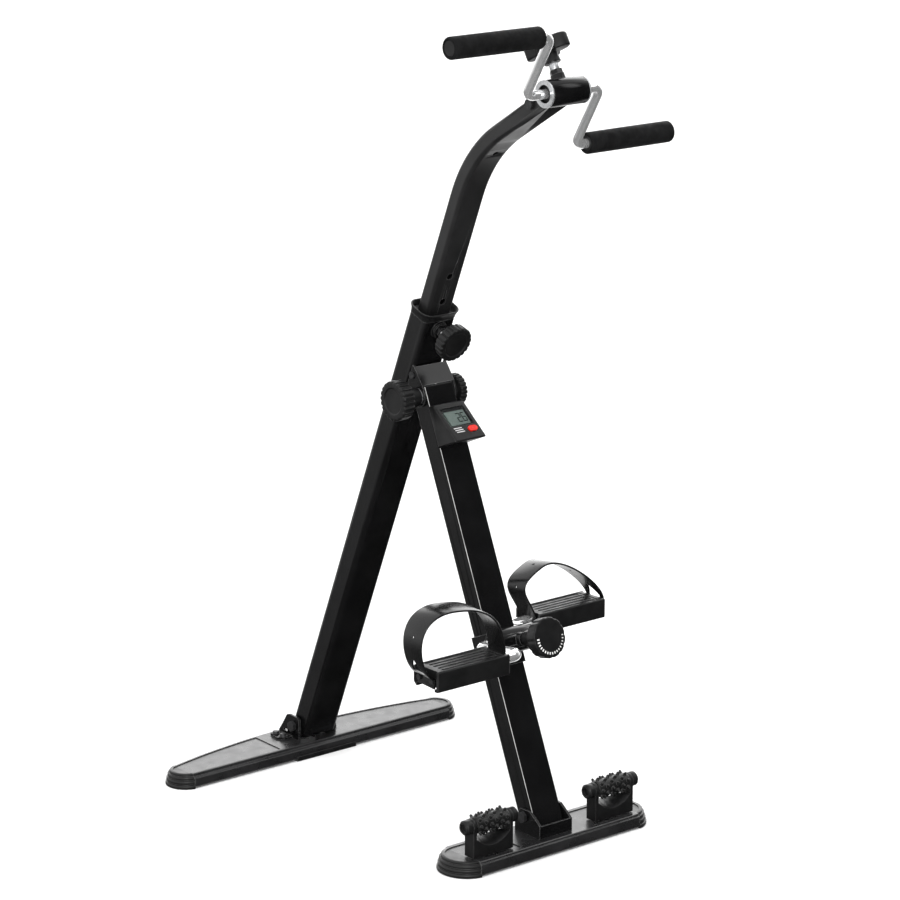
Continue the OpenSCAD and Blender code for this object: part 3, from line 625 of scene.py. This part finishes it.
# ---------------------------------------------------------------- grips
def grips():
    """Foam sleeves with soft rims, open at both ends where the crank and its core pass."""
    for side in (-1, 1):
        name = "grip_left" if side < 0 else "grip_right"
        low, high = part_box(name)
        length = (high.x - low.x) / MM
        radius = (high.z - low.z) / MM / 2
        outer = Vector((low.x if side < 0 else high.x, (low.y + high.y) / 2, (low.z + high.z) / 2))
        bore = 9.02
        profile = fillet([
            (bore, 1.6, 0), (bore + 1.2, 0.0, 0.8), (radius, 0, 2.8), (radius + 0.1, length / 2, 40),
            (radius, length, 2.2), (bore + 0.6, length, 1.0), (bore, length - 2.5, 0),
        ])
        where = aimed(outer, X_AXIS * -side, (0, 0, 1))
        add_piece(name + "_foam", lathe(profile, closed=True), where, "foam", name, [name])


# ---------------------------------------------------------------- rollers
def roller_shape(half, core, rows, around, nub_height):
    """A hollow rubber roller with staggered rows of small soft spikes."""
    bore = 4.3
    body_profile = [
        (bore, -half, 0), (core - 0.6, -half, 0.8), (core, -half + 2, 0.8), (core, half - 2, 0.8),
        (core - 0.6, half, 0.8), (bore, half, 0),
    ]
    body = lathe(fillet(body_profile), 64, closed=True)
    nub_profile = [(2.6, -1, 0), (2.4, 0.4, 1), (1.25, nub_height, 1.0), (0, nub_height + 0.05, 0)]
    nub = lathe(fillet(nub_profile), 14)
    shapes = [body]
    step = (2 * half - 10) / (rows - 1)
    for row in range(rows):
        for i in range(around):
            turn = math.tau * (i + 0.5 * (row % 2)) / around
            at = Matrix.Translation((0, 0, -half + 5 + row * step))
            at = at @ Matrix.Rotation(turn, 4, "Z") @ Matrix.Rotation(math.pi / 2, 4, "Y")
            shapes.append(moved(nub, at @ Matrix.Translation((0, 0, core - 0.2))))
    return merged(*shapes)


def rollers():
    """The two massage rollers of the front foot."""
    for name in ("roller_left", "roller_right"):
        where = aimed(joint_pos(name + "_spin"), X_AXIS, (0, 0, 1))
        shape = roller_shape(half=26.5, core=11, rows=6, around=8, nub_height=4.2)
        add_piece(name + "_nubs", shape, where, "black_rubber", name, [name])


# ---------------------------------------------------------------- straps
def bezier(p, t):
    """A point on a cubic curve through four control points."""
    terms = (math.comb(3, k) * (1 - t) ** (3 - k) * t ** k * Vector(p[k]) for k in range(4))
    return sum(terms, Vector((0, 0)))


# Control points of each strap's worn-in curve: x from the pedal's outer end, z above its axle.
STRAP_ENDS = (Vector((-2.9, 4)), Vector((-111.1, 6)))
STRAP_SHAPES = {
    -1: {
        "lean": -4, "rise": ((20, 8), (49, 92)), "crest": (-28, 85),
        "fall": ((-68, 81), (-109, 69)),
    },
    1: {
        "lean": 4, "rise": ((25.5, 8), (-61.5, 85.5)), "crest": (-99.4, 70.4),
        "fall": ((-151, 50), (-124.5, 41)),
    },
}
# The pierced window near the outer end, as (across, up) corners, and the holes along the band.
STRAP_WINDOW = ((-12.5, 10), (12.5, 10), (1.5, 31))
STRAP_HOLES = (18, 29, 40)
STRAP_WIDTH, STRAP_THICKNESS = 34, 2.6


def strap_path(shape, x_out, steps=26):
    """Inner line of the band in (x, z), from its outer anchor over the foot to its inner one."""
    shift = Vector((x_out, 0))
    start, end = (p + shift for p in STRAP_ENDS)
    crest = Vector(shape["crest"]) + shift
    rise = [start, *(Vector(p) + shift for p in shape["rise"]), crest]
    fall = [crest, *(Vector(p) + shift for p in shape["fall"]), end]
    tab_out = [Vector((start.x, -8.5)), Vector((start.x, -4)), Vector((start.x, 0))]
    tab_in = [Vector((end.x, 2)), Vector((end.x, -3.5))]
    up = [bezier(rise, i / steps) for i in range(steps)]
    down = [bezier(fall, i / steps) for i in range(steps + 1)]
    return tab_out + up + down + tab_in


def cut(piece, tools):
    """Cuts closed tool shapes, in millimetres of the same frame, out of a piece."""
    for tool in tools:
        modifier = piece.modifiers.new("cut", "BOOLEAN")
        modifier.operation = "DIFFERENCE"
        modifier.solver = "EXACT"
        modifier.object = tool
    bpy.context.view_layer.update()
    graph = bpy.context.evaluated_depsgraph_get()
    mesh = bpy.data.meshes.new_from_object(piece.evaluated_get(graph))
    piece.modifiers.clear()
    piece.data = mesh
    for tool in tools:
        bpy.data.objects.remove(tool)


def tool_object(shape, where):
    """A hidden closed mesh for cut(), which removes it after use."""
    mesh = bpy.data.meshes.new("tool")
    mesh.from_pydata([tuple(where @ (Vector(v) * MM)) for v in shape[0]], [], shape[1])
    tidy = bmesh.new()
    tidy.from_mesh(mesh)
    bmesh.ops.recalc_face_normals(tidy, faces=tidy.faces)
    tidy.to_mesh(mesh)
    tidy.free()
    made = bpy.data.objects.new("tool", mesh)
    bpy.context.scene.collection.objects.link(made)
    made.hide_render = True
    return made


# Turns a shape drawn in X and Y, rising along Z, so that it runs along X or into a face along Y.
ALONG_X = Matrix(((0, 0, 1, 0), (1, 0, 0, 0), (0, 1, 0, 0), (0, 0, 0, 1)))
INTO_FACE = Matrix(((1, 0, 0, 0), (0, 0, 1, 0), (0, 1, 0, 0), (0, 0, 0, 1)))


def prism(outline, low, high):
    """A straight prism along Z from an outline of (x, y) points."""
    return stack([[(x, y, low) for x, y in outline], [(x, y, high) for x, y in outline]])


def circle(radius, sides):
    turns = [math.tau * i / sides for i in range(sides)]
    return [(radius * math.cos(a), radius * math.sin(a)) for a in turns]


def pedal_place(body):
    """A pedal's axes, mirrored on the left so that X always runs outwards, and its outer end."""
    low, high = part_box(body)
    side = 1 if body == "pedal_right" else -1
    pivot = joint_pos(body + "_spin")
    where = Matrix.Translation((0, pivot.y, pivot.z)) @ Matrix.Diagonal((side, 1, 1, 1))
    return where, max(abs(low.x), abs(high.x)) / MM


def rounded_triangle(corners, reach=4.5, steps=5):
    """A triangle whose corners are rounded off with quadratic curves."""
    outline = []
    for k, c in enumerate(corners):
        a = c + (corners[k - 1] - c).normalized() * reach
        b = c + (corners[(k + 1) % 3] - c).normalized() * reach
        for t in range(steps + 1):
            s = t / steps
            outline.append(tuple(a * (1 - s) ** 2 + c * 2 * s * (1 - s) + b * s * s))
    return outline


def strap(side):
    """A worn-in band over the foot, thin at its edges, with a window and three holes."""
    name = "strap_left" if side < 0 else "strap_right"
    body = "pedal_left" if side < 0 else "pedal_right"
    where, x_out = pedal_place(body)
    shape = STRAP_SHAPES[side]
    lean = math.radians(shape["lean"])
    path = strap_path(shape, x_out)
    rings, frames = [], []
    for i, p in enumerate(path):
        along = (path[min(i + 1, len(path) - 1)] - path[max(i - 1, 0)]).normalized()
        out = Vector((along.y, -along.x))
        share = i / (len(path) - 1)
        half = STRAP_WIDTH / 2 * (1 - 0.05 * math.cos(math.tau * share))
        crown = 0.7 * math.sin(math.pi * share)
        ring = []
        for u, v in rounded_rectangle(2 * half, STRAP_THICKNESS, 1.1, 4):
            lift = v + STRAP_THICKNESS / 2 - crown * (u / half) ** 2
            x, z = p.x + out.x * lift, p.y + out.y * lift
            y_leaned = u * math.cos(lean) + z * math.sin(lean)
            z_leaned = z * math.cos(lean) - u * math.sin(lean)
            ring.append((x, y_leaned, z_leaned))
        rings.append(ring)
        frames.append((p, out))
    piece = add_piece(name + "_band", stack(rings), where, "strap_rubber", body, [name])
    leaned = Matrix.Rotation(-lean, 4, "X")
    window = prism(rounded_triangle([Vector(c) for c in STRAP_WINDOW]), x_out - 14, x_out + 34)
    tools = [tool_object(moved(window, leaned @ ALONG_X), where)]
    for index in STRAP_HOLES:
        p, out = frames[index]
        axis = Vector((out.x, 0, out.y))
        spot = aimed(Vector((p.x, 0, p.y)), axis, (0, 1, 0))
        hole = moved(prism(circle(1.9, 24), -4, 8), leaned @ spot)
        tools.append(tool_object(hole, where))
    cut(piece, tools)
    piece.data.set_sharp_from_angle(angle=math.radians(40))


# ---------------------------------------------------------------- feet
def inset_outline(points, amount):
    """Moves a closed outline inwards by amount, along the mean normal at each point."""
    moved_points = []
    count = len(points)
    for i, p in enumerate(points):
        a, b = Vector(points[i - 1]), Vector(points[(i + 1) % count])
        along = (b - a).normalized()
        moved_points.append((p[0] - along.y * amount, p[1] + along.x * amount))
    return moved_points


def arc(centre, radius, start, stop):
    """Points every 6 degrees on an arc about a centre."""
    angles = [math.radians(a) for a in range(start, stop, 6)]
    return [(centre[0] + radius * math.cos(a), centre[1] + radius * math.sin(a)) for a in angles]


def rear_outline():
    """Straight in front, a shallow arc behind, with round ends; anticlockwise from the front left."""
    half, front, end_radius = 240, -40, 26.8
    back_radius, back_centre = 900, -860
    straight = [(x, front) for x in range(-210, 211, 10)]
    right = arc((half - end_radius, front + end_radius), end_radius, -84, 77)
    join = right[-1][0]
    across = [join * (1 - k / 26) for k in range(1, 52)]
    back = [(x, back_centre + math.sqrt(back_radius ** 2 - x ** 2)) for x in across]
    left = [(-x, y) for x, y in reversed(right)]
    return straight + right + back + left


def front_outline():
    """Two straight sides between half-round ends; anticlockwise."""
    half, depth = 162.5, 37
    right = arc((half - depth, 0), depth, -90, 91)
    back = [(x, depth) for x in range(120, -121, -10)]
    front = [(x, -depth) for x in range(-120, 121, 10)]
    return right + back + [(-x, -y) for x, y in right] + front


# Side profiles of the feet and their end caps, as (inset, height) points from the floor up.
FRONT_PROFILE = [
    (6, 2.5), (1.0, 2.5), (0.4, 3.2), (0.4, 15.6), (0.7, 16.3), (1.4, 16.7), (2.5, 17),
    (2.8, 17.6), (2.9, 19.2), (3.6, 20), (9, 20),
]
REAR_PROFILE = [
    (6, 2.5), (0.8, 2.5), (0, 3.3), (0, 12.5), (0.3, 13.6), (1.2, 14.6), (3.2, 15.6),
    (4.0, 16.4), (4.4, 18.4), (5.2, 19.6), (6.6, 20), (9, 20),
]
CAP_PROFILE = [
    (4, 0), (0.2, 0), (-1, 0.9), (-1.2, 2.4), (-1, 4.6), (-0.4, 5.2), (1.4, 5.6), (1.6, 6.2),
    (0.5, 6.8), (0.2, 7.6), (0.3, 10.2), (0.9, 10.9), (2.6, 11.3), (2.8, 11.9), (1.9, 12.5),
    (1.7, 13.2), (1.9, 15.4), (2.5, 16.1), (4.2, 16.5), (4.4, 17.1), (4.0, 17.6), (4.2, 19.2),
    (5.0, 20), (9, 20),
]
# The recesses in a foot's top stop this far inside its outline, and go down to this height.
PANEL_INSET, PANEL_FLOOR = 9, 18.8


def foot_layers(outline, profile):
    """A foot's outline stacked up its side profile."""
    return stack([[(x, y, z) for x, y in inset_outline(outline, inset)] for inset, z in profile])


def split_at(shape, x, keep_outer):
    """Keeps the part of a closed shape beyond, or within, +-x, closed with flat faces."""
    work = bmesh.new()
    verts = [work.verts.new(v) for v in shape[0]]
    for face in shape[1]:
        work.faces.new([verts[i] for i in face])
    results = []
    for sides in ((-1,), (1,)) if keep_outer else ((-1, 1),):
        piece = work.copy()
        for side in sides:
            found = bmesh.ops.bisect_plane(
                piece, geom=piece.verts[:] + piece.edges[:] + piece.faces[:],
                plane_co=(side * x, 0, 0), plane_no=(side, 0, 0),
                clear_outer=not keep_outer, clear_inner=keep_outer,
            )
            edges = [e for e in found["geom_cut"] if isinstance(e, bmesh.types.BMEdge)]
            bmesh.ops.contextual_create(piece, geom=edges)
        piece.verts.index_update()
        faces = [tuple(v.index for v in f.verts) for f in piece.faces]
        results.append(([tuple(v.co) for v in piece.verts], faces))
        piece.free()
    work.free()
    return merged(*results)


def top_panels(outline, start, centre):
    """Outlines of the two recesses, beyond +-start, each ordered about its own centre."""
    inner = inset_outline(outline, PANEL_INSET)
    panels = []
    for side in (-1, 1):
        panel = [(x, y) for x, y in inner if side * x > start]
        panel.sort(key=lambda p: math.atan2(p[1] - centre[1], side * (p[0] - side * centre[0])))
        panels.append(panel)
    return panels


def foot(name, outline, centre, split, panels, body, profile):
    """A pressed steel foot with recessed top panels, and a stepped rubber cap on each end."""
    where = Matrix.Translation(centre)

    def cut_panels(piece, smooth_angle):
        cut(piece, [tool_object(prism(panel, PANEL_FLOOR, 30), where) for panel in panels])
        piece.data.set_sharp_from_angle(angle=math.radians(smooth_angle))

    shape = split_at(foot_layers(outline, profile), split, False)
    shell = add_piece(name + "_shell", shape, where, "grey_paint", body, [name])
    cut_panels(shell, 32)
    round_edges(shell, 0.5, 32)
    shape = split_at(foot_layers(outline, CAP_PROFILE), split, True)
    caps = add_piece(name + "_end_caps", shape, where, "black_rubber", body, [name + "_caps"], 50)
    cut_panels(caps, 50)


def feet():
    """Both feet, with their panels beside the brackets in the middle."""
    outline = rear_outline()
    panels = top_panels(outline, 66, (140, -14))
    foot("rear_foot", outline, (0, 0, 0), 218, panels, "rear_frame", REAR_PROFILE)
    outline = front_outline()
    panels = top_panels(outline, 56, (100, 0))
    low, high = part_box("front_foot")
    centre = (0, (low.y + high.y) / 2, 0)
    foot("front_foot", outline, centre, 132.5, panels, "front_leg", FRONT_PROFILE)


# ---------------------------------------------------------------- collar
POST_TOP_FROM_LOCK = (0, 17, 12.4)
# Rounded rectangles up the outside and down the inside: width, depth, corner radius, height.
COLLAR_OUTSIDE = [
    (47.9, 29.9, 5, -5.5), (47.9, 29.9, 5, 0), (52.6, 34.6, 7.3, 0.02), (53.4, 35.6, 8.5, 3),
    (55.2, 37.6, 10.5, 6), (58, 40.4, 12.6, 9), (60, 42.2, 14, 11), (60.2, 42.4, 14.2, 11.6),
    (59.4, 41.6, 13.8, 12),
]
COLLAR_INSIDE = [
    (57, 39.2, 12.6, 12), (55.6, 37.8, 12, 11.2), (52, 34, 10.6, 8), (49, 31.6, 8, 5),
    (44, 26, 6, 3.6), (40.3, 22.3, 5.1, 3.2), (40.3, 22.3, 5.1, -5.5),
]


def collar():
    """A cup at the top of the post that flares to a thin lip, with its sleeve inside the tube."""
    rings = []
    for width, depth, radius, height in COLLAR_OUTSIDE + COLLAR_INSIDE:
        rings.append([(x, y, height) for x, y in rounded_rectangle(width, depth, radius, 8)])
    where = LOCK @ Matrix.Translation(Vector(POST_TOP_FROM_LOCK) * MM)
    cup = stack(rings, closed=True)
    add_piece("collar_cup", cup, where, "black_plastic", "rear_frame", ["post_collar"])


# ---------------------------------------------------------------- pedals
PEDAL_INNER_END = 93
# End outline of the body, open at the bottom, as (y, z, corner radius) about the axle.
PEDAL_OUTLINE = [
    (17.5, -13, 0), (18.5, -13, 0), (23.5, -8, 1.5), (23.5, 13, 2.4), (-23.5, 13, 2.4),
    (-23.5, -13, 2.0), (-17.5, -13, 0.6), (-17.5, -8, 1.5), (17.5, -8, 1.5), (17.5, -13, 0),
]
AXLE_BORE_RADIUS, PIN_HOLE_RADIUS, PIN_HOLE_Y = 7.62, 1.95, 12


def pedal(side):
    """A moulded pedal: chamfered body, ribbed tread with a lip, a notch at each end for the strap."""
    name = "pedal_left" if side < 0 else "pedal_right"
    where, x_out = pedal_place(name)
    x_in = PEDAL_INNER_END
    outline = fillet(PEDAL_OUTLINE, 4)[:-1]
    rings = []
    for x, shrink in ((x_in, 0.975), (x_in + 0.8, 1), (x_out - 1.0, 1), (x_out, 0.965)):
        rings.append([(x, p.x * shrink, p.y * shrink) for p in outline])
    piece = add_piece(name + "_body", stack(rings), where, "black_plastic", name, [name])

    def slot_tool(x0, x1, y0, y1, z0, z1, radius):
        shape = prism(rounded_rectangle(x1 - x0, y1 - y0, radius), z0, z1)
        middle = Matrix.Translation(((x0 + x1) / 2, (y0 + y1) / 2, 0))
        return tool_object(moved(shape, middle), where)

    def bore_tool(radius, sides, y, x0, x1):
        shape = prism([(a + y, b) for a, b in circle(radius, sides)], x0, x1)
        return tool_object(moved(shape, ALONG_X), where)

    tools = [
        slot_tool(x_out - 3, x_out + 6, -20.4, 20.4, -9, 30, 1.2),
        slot_tool(x_in - 6, x_in + 3, -20.4, 20.4, -4, 30, 1.2),
        slot_tool(x_in + 8, x_out - 9, -20.2, 20.2, 12.3, 20, 3),
        bore_tool(AXLE_BORE_RADIUS, 48, 0, x_in - 6, x_out - 8),
    ]
    for y in (-PIN_HOLE_Y, PIN_HOLE_Y):
        tools.append(bore_tool(PIN_HOLE_RADIUS, 24, y, x_out - 15, x_out + 3))
    for y in range(-16, 17, 8):
        tools.append(slot_tool(x_in + 12, x_out - 13, y - 2.9, y + 2.9, 11.5, 20, 1.6))
    cut(piece, tools)
    piece.data.set_sharp_from_angle(angle=math.radians(35))
    round_edges(piece, 0.35, 35)


# ---------------------------------------------------------------- counter
FACE_TILT = math.radians(28.4)
FACE_CORNER = (0, -24.2, -19)
CASE_BACK = -14.2
# Side outline of the case, as (y, z, corner radius): back, top, front tip and bottom.
CASE_OUTLINE = [
    (0, -16.5, 0), (-1, -16.5, 0), (-8.65, -16.5, 7), (-36.49, -68.0, 1.4), (-36.49, -70.5, 1.2),
    (-1, -70.5, 0), (0, -70.5, 0),
]
# How far the outline is drawn in at each x, which rounds the case's two sides.
CASE_SECTIONS = (
    (-25, 1.6), (-24.4, 0.6), (-23.2, 0.12), (-22, 0), (22, 0), (23.2, 0.12), (24.4, 0.6),
    (25, 1.6),
)
SEGMENTS = {"2": "abged", "6": "afgedc"}
DIGIT_WIDTH, DIGIT_HEIGHT, DIGIT_FOOT, DIGIT_STROKE = 5.2, 13, -28.6, 1.5


def face_place():
    """The tilted face of the counter: X to the right, Y into the case, Z up the face."""
    offset = Matrix.Translation(Vector(FACE_CORNER) * MM)
    return LEG @ offset @ Matrix.Rotation(-FACE_TILT, 4, "X")


def bar(start, end, width, depth):
    """A thin bar with pointed ends on the counter's face, from one (x, z) point to another."""
    a, b = Vector(start), Vector(end)
    along = (b - a).normalized()
    side = Vector((-along.y, along.x)) * width / 2
    tip = along * width / 2
    outline = [
        a + tip * 0.2 + side, a - tip * 0.6, a + tip * 0.2 - side,
        b - tip * 0.2 - side, b + tip * 0.6, b - tip * 0.2 + side,
    ]
    return stack([[(p.x, y, p.y) for p in outline] for y in depth])


def digit(symbol, x, depth):
    """A seven-segment digit: a is the top bar, then clockwise to f, with g in the middle."""
    right = x + DIGIT_WIDTH
    low, mid, top = DIGIT_FOOT, DIGIT_FOOT + DIGIT_HEIGHT / 2, DIGIT_FOOT + DIGIT_HEIGHT
    lines = {
        "a": ((x, top), (right, top)), "b": ((right, top), (right, mid)),
        "c": ((right, mid), (right, low)), "d": ((x, low), (right, low)),
        "e": ((x, low), (x, mid)), "f": ((x, mid), (x, top)), "g": ((x, mid), (right, mid)),
    }
    return [bar(*lines[s], DIGIT_STROKE, depth) for s in SEGMENTS[symbol]]


def counter_case():
    """The wedge-shaped case: its side outline drawn out along X, with a pocket for the window."""
    outline = [(p.x, p.y) for p in fillet(CASE_OUTLINE, 8)]
    rings = []
    for x, shrink in CASE_SECTIONS:
        ring = [(x, min(y, 0), z) for y, z in inset_outline(outline, shrink)]
        rings.append([(p[0], 0 if abs(q[0]) < 1.1 else p[1], p[2]) for p, q in zip(ring, outline)])
    where = LEG @ Matrix.Translation((0, CASE_BACK * MM, 0))
    case = add_piece("counter_case", stack(rings), where, "black_plastic", "front_leg", ["console"])
    window = [(x, z - 20) for x, z in rounded_rectangle(38.2, 30.2, 0.6)]
    button = [(x + 11.5, z - 42.5) for x, z in rounded_rectangle(14.4, 8.4, 4.19, 8)]
    dip = [(x + 11.3, z - 42.5) for x, z in rounded_rectangle(18.5, 12.5, 6.2, 8)]
    face = face_place()
    tools = []
    for pocket, depth in ((window, 4.6), (button, 6.2), (dip, 0.7)):
        tools.append(tool_object(moved(prism(pocket, -6, depth), INTO_FACE), face))
    cut(case, tools)
    case.data.set_sharp_from_angle(angle=math.radians(35))


def counter():
    """The case, the display's two digits and three plain bars in place of small print."""
    counter_case()
    where = face_place()
    print_depth = (0.78, 0.92)
    digits = merged(*digit("2", 0.2, print_depth), *digit("6", 8.0, print_depth))
    add_piece("display_digits", digits, where, "lcd", "front_leg", material=lcd_ink())
    marks = []
    for k in range(3):
        x, z = -16.5 + 0.8 * k, -38.2 - 3.1 * k
        marks.append(bar((x, z), (x + 12.5, z), 1.35, (-0.25, 0.2)))
    add_piece("face_marks", merged(*marks), where, "white_print", "front_leg", material=grey_print())


knobs()
grips()
rollers()
for pedal_side in (-1, 1):
    pedal(pedal_side)
    strap(pedal_side)
collar()
feet()
counter()


# ---------------------------------------------------------------- stage
def area_light(name, location, width, height, power):
    """A softbox that points at the object's middle."""
    light = bpy.data.lights.new(name, "AREA")
    light.shape = "RECTANGLE"
    light.size = width
    light.size_y = height
    light.energy = power
    lamp = bpy.data.objects.new(name, light)
    lamp.location = location
    aim = Vector((0, -0.3, 0.5)) - Vector(location)
    lamp.rotation_euler = aim.to_track_quat("-Z", "Y").to_euler()
    bpy.context.scene.collection.objects.link(lamp)


class WorldGraph:
    """Small helpers for the studio's background nodes."""

    def __init__(self, tree):
        self.tree = tree
        self.direction = tree.nodes.new("ShaderNodeTexCoord").outputs["Generated"]

    def towards(self, direction, low, high, to_low=0.0, to_high=1.0):
        """How far a ray points towards a direction, mapped from a cosine range to a value range."""
        dot = self.tree.nodes.new("ShaderNodeVectorMath")
        dot.operation = "DOT_PRODUCT"
        dot.inputs[1].default_value = Vector(direction).normalized()
        self.tree.links.new(self.direction, dot.inputs[0])
        ramp = self.tree.nodes.new("ShaderNodeMapRange")
        ramp.interpolation_type = "SMOOTHSTEP"
        limits = {"From Min": low, "From Max": high, "To Min": to_low, "To Max": to_high}
        for socket, value in limits.items():
            ramp.inputs[socket].default_value = value
        self.tree.links.new(dot.outputs["Value"], ramp.inputs["Value"])
        return ramp.outputs["Result"]

    def maths(self, operation, a, b):
        """A maths node on two numbers or sockets."""
        node = self.tree.nodes.new("ShaderNodeMath")
        node.operation = operation
        for socket, value in zip(node.inputs, (a, b)):
            if isinstance(value, float):
                socket.default_value = value
            else:
                self.tree.links.new(value, socket)
        return node.outputs["Value"]

    def mix(self, factor, a, b):
        node = self.tree.nodes.new("ShaderNodeMix")
        sockets = (node.inputs["Factor"], node.inputs[2], node.inputs[3])
        for socket, value in zip(sockets, (factor, a, b)):
            if isinstance(value, float):
                socket.default_value = value
            else:
                self.tree.links.new(value, socket)
        return node.outputs[0]


def studio_world():
    """White to the camera and to matt surfaces; reflections see a bright ceiling and back wall."""
    world = bpy.data.worlds.new("studio")
    bpy.context.scene.world = world
    world.use_nodes = True
    tree = world.node_tree
    graph = WorldGraph(tree)
    shown = graph.towards((0, 0, 1), -0.5, 0.1, 0.08, 1.0)
    for direction in ((0.62, -0.72, 0.3), (0.62, -0.35, -0.7)):
        shown = graph.maths("MULTIPLY", shown, graph.towards(direction, 0.6, 0.92, 1.0, 0.05))
    glows = (
        ((0.6, 0.62, -0.5), 0.8, 1.0, 1.2),
        ((0.62, 0.74, 0.25), 0.78, 0.97, 1.9),
        ((0.62, -0.43, 0.65), 0.965, 0.99, 2.2),
    )
    for direction, start, full, level in glows:
        shown = graph.maths("ADD", shown, graph.towards(direction, start, full, 0.0, level))
    path = tree.nodes.new("ShaderNodeLightPath")
    strength = graph.mix(path.outputs["Is Glossy Ray"], 1.0, shown)
    tree.links.new(strength, tree.nodes["Background"].inputs["Strength"])
    tree.nodes["Background"].inputs["Color"].default_value = (1, 1, 1, 1)


def pale_floor():
    """A wide plain floor that doesn't show in the paint's reflections."""
    mesh = bpy.data.meshes.new("floor")
    half = 14
    corners = [(-half, -half, 0), (half, -half, 0), (half, half, 0), (-half, half, 0)]
    mesh.from_pydata(corners, [], [(0, 1, 2, 3)])
    floor = bpy.data.objects.new("floor", mesh)
    bpy.context.scene.collection.objects.link(floor)
    s = Surface("pale floor", (0.93, 0.93, 0.93), 0.6, specular=0.2)
    s.vary_colour((0.915, 0.915, 0.915), 1.2)
    s.bump(180, 0.01)
    mesh.materials.append(s.material)
    floor.visible_glossy = False


# Camera: the point in the middle of the picture, and where the lens stands from there.
CAMERA_TARGET = Vector((0, -0.302, 0.4779))
CAMERA_AZIMUTH, CAMERA_ELEVATION = math.radians(-39.78), math.radians(14.70)
CAMERA_DISTANCE, FOCAL_LENGTH = 4.5168, 142.69


def camera():
    """A long lens, above the pedals and to the left of the front."""
    data = bpy.data.cameras.new("camera")
    data.lens = FOCAL_LENGTH
    data.sensor_width = 36
    made = bpy.data.objects.new("camera", data)
    bpy.context.scene.collection.objects.link(made)
    back = Vector((
        math.sin(CAMERA_AZIMUTH) * math.cos(CAMERA_ELEVATION),
        -math.cos(CAMERA_AZIMUTH) * math.cos(CAMERA_ELEVATION),
        math.sin(CAMERA_ELEVATION),
    ))
    made.location = CAMERA_TARGET + back * CAMERA_DISTANCE
    made.rotation_euler = back.to_track_quat("Z", "Y").to_euler()
    bpy.context.scene.camera = made


def sky_light():
    """An even, soft key from above that lights the floor without showing in the paint."""
    sun = bpy.data.lights.new("soft key", "SUN")
    sun.energy = 1.9
    sun.angle = math.radians(70)
    lamp = bpy.data.objects.new("soft key", sun)
    lamp.rotation_euler = (math.radians(12), math.radians(-14), 0)
    lamp.visible_glossy = False
    bpy.context.scene.collection.objects.link(lamp)


studio_world()
pale_floor()
camera()
sky_light()
area_light("front box", (-2.3, -3.1, 1.75), 0.55, 1.1, power=30)
area_light("right box", (3.0, 0.4, 1.6), 0.5, 1.8, power=9)
bpy.context.scene.view_settings.view_transform = "Standard"
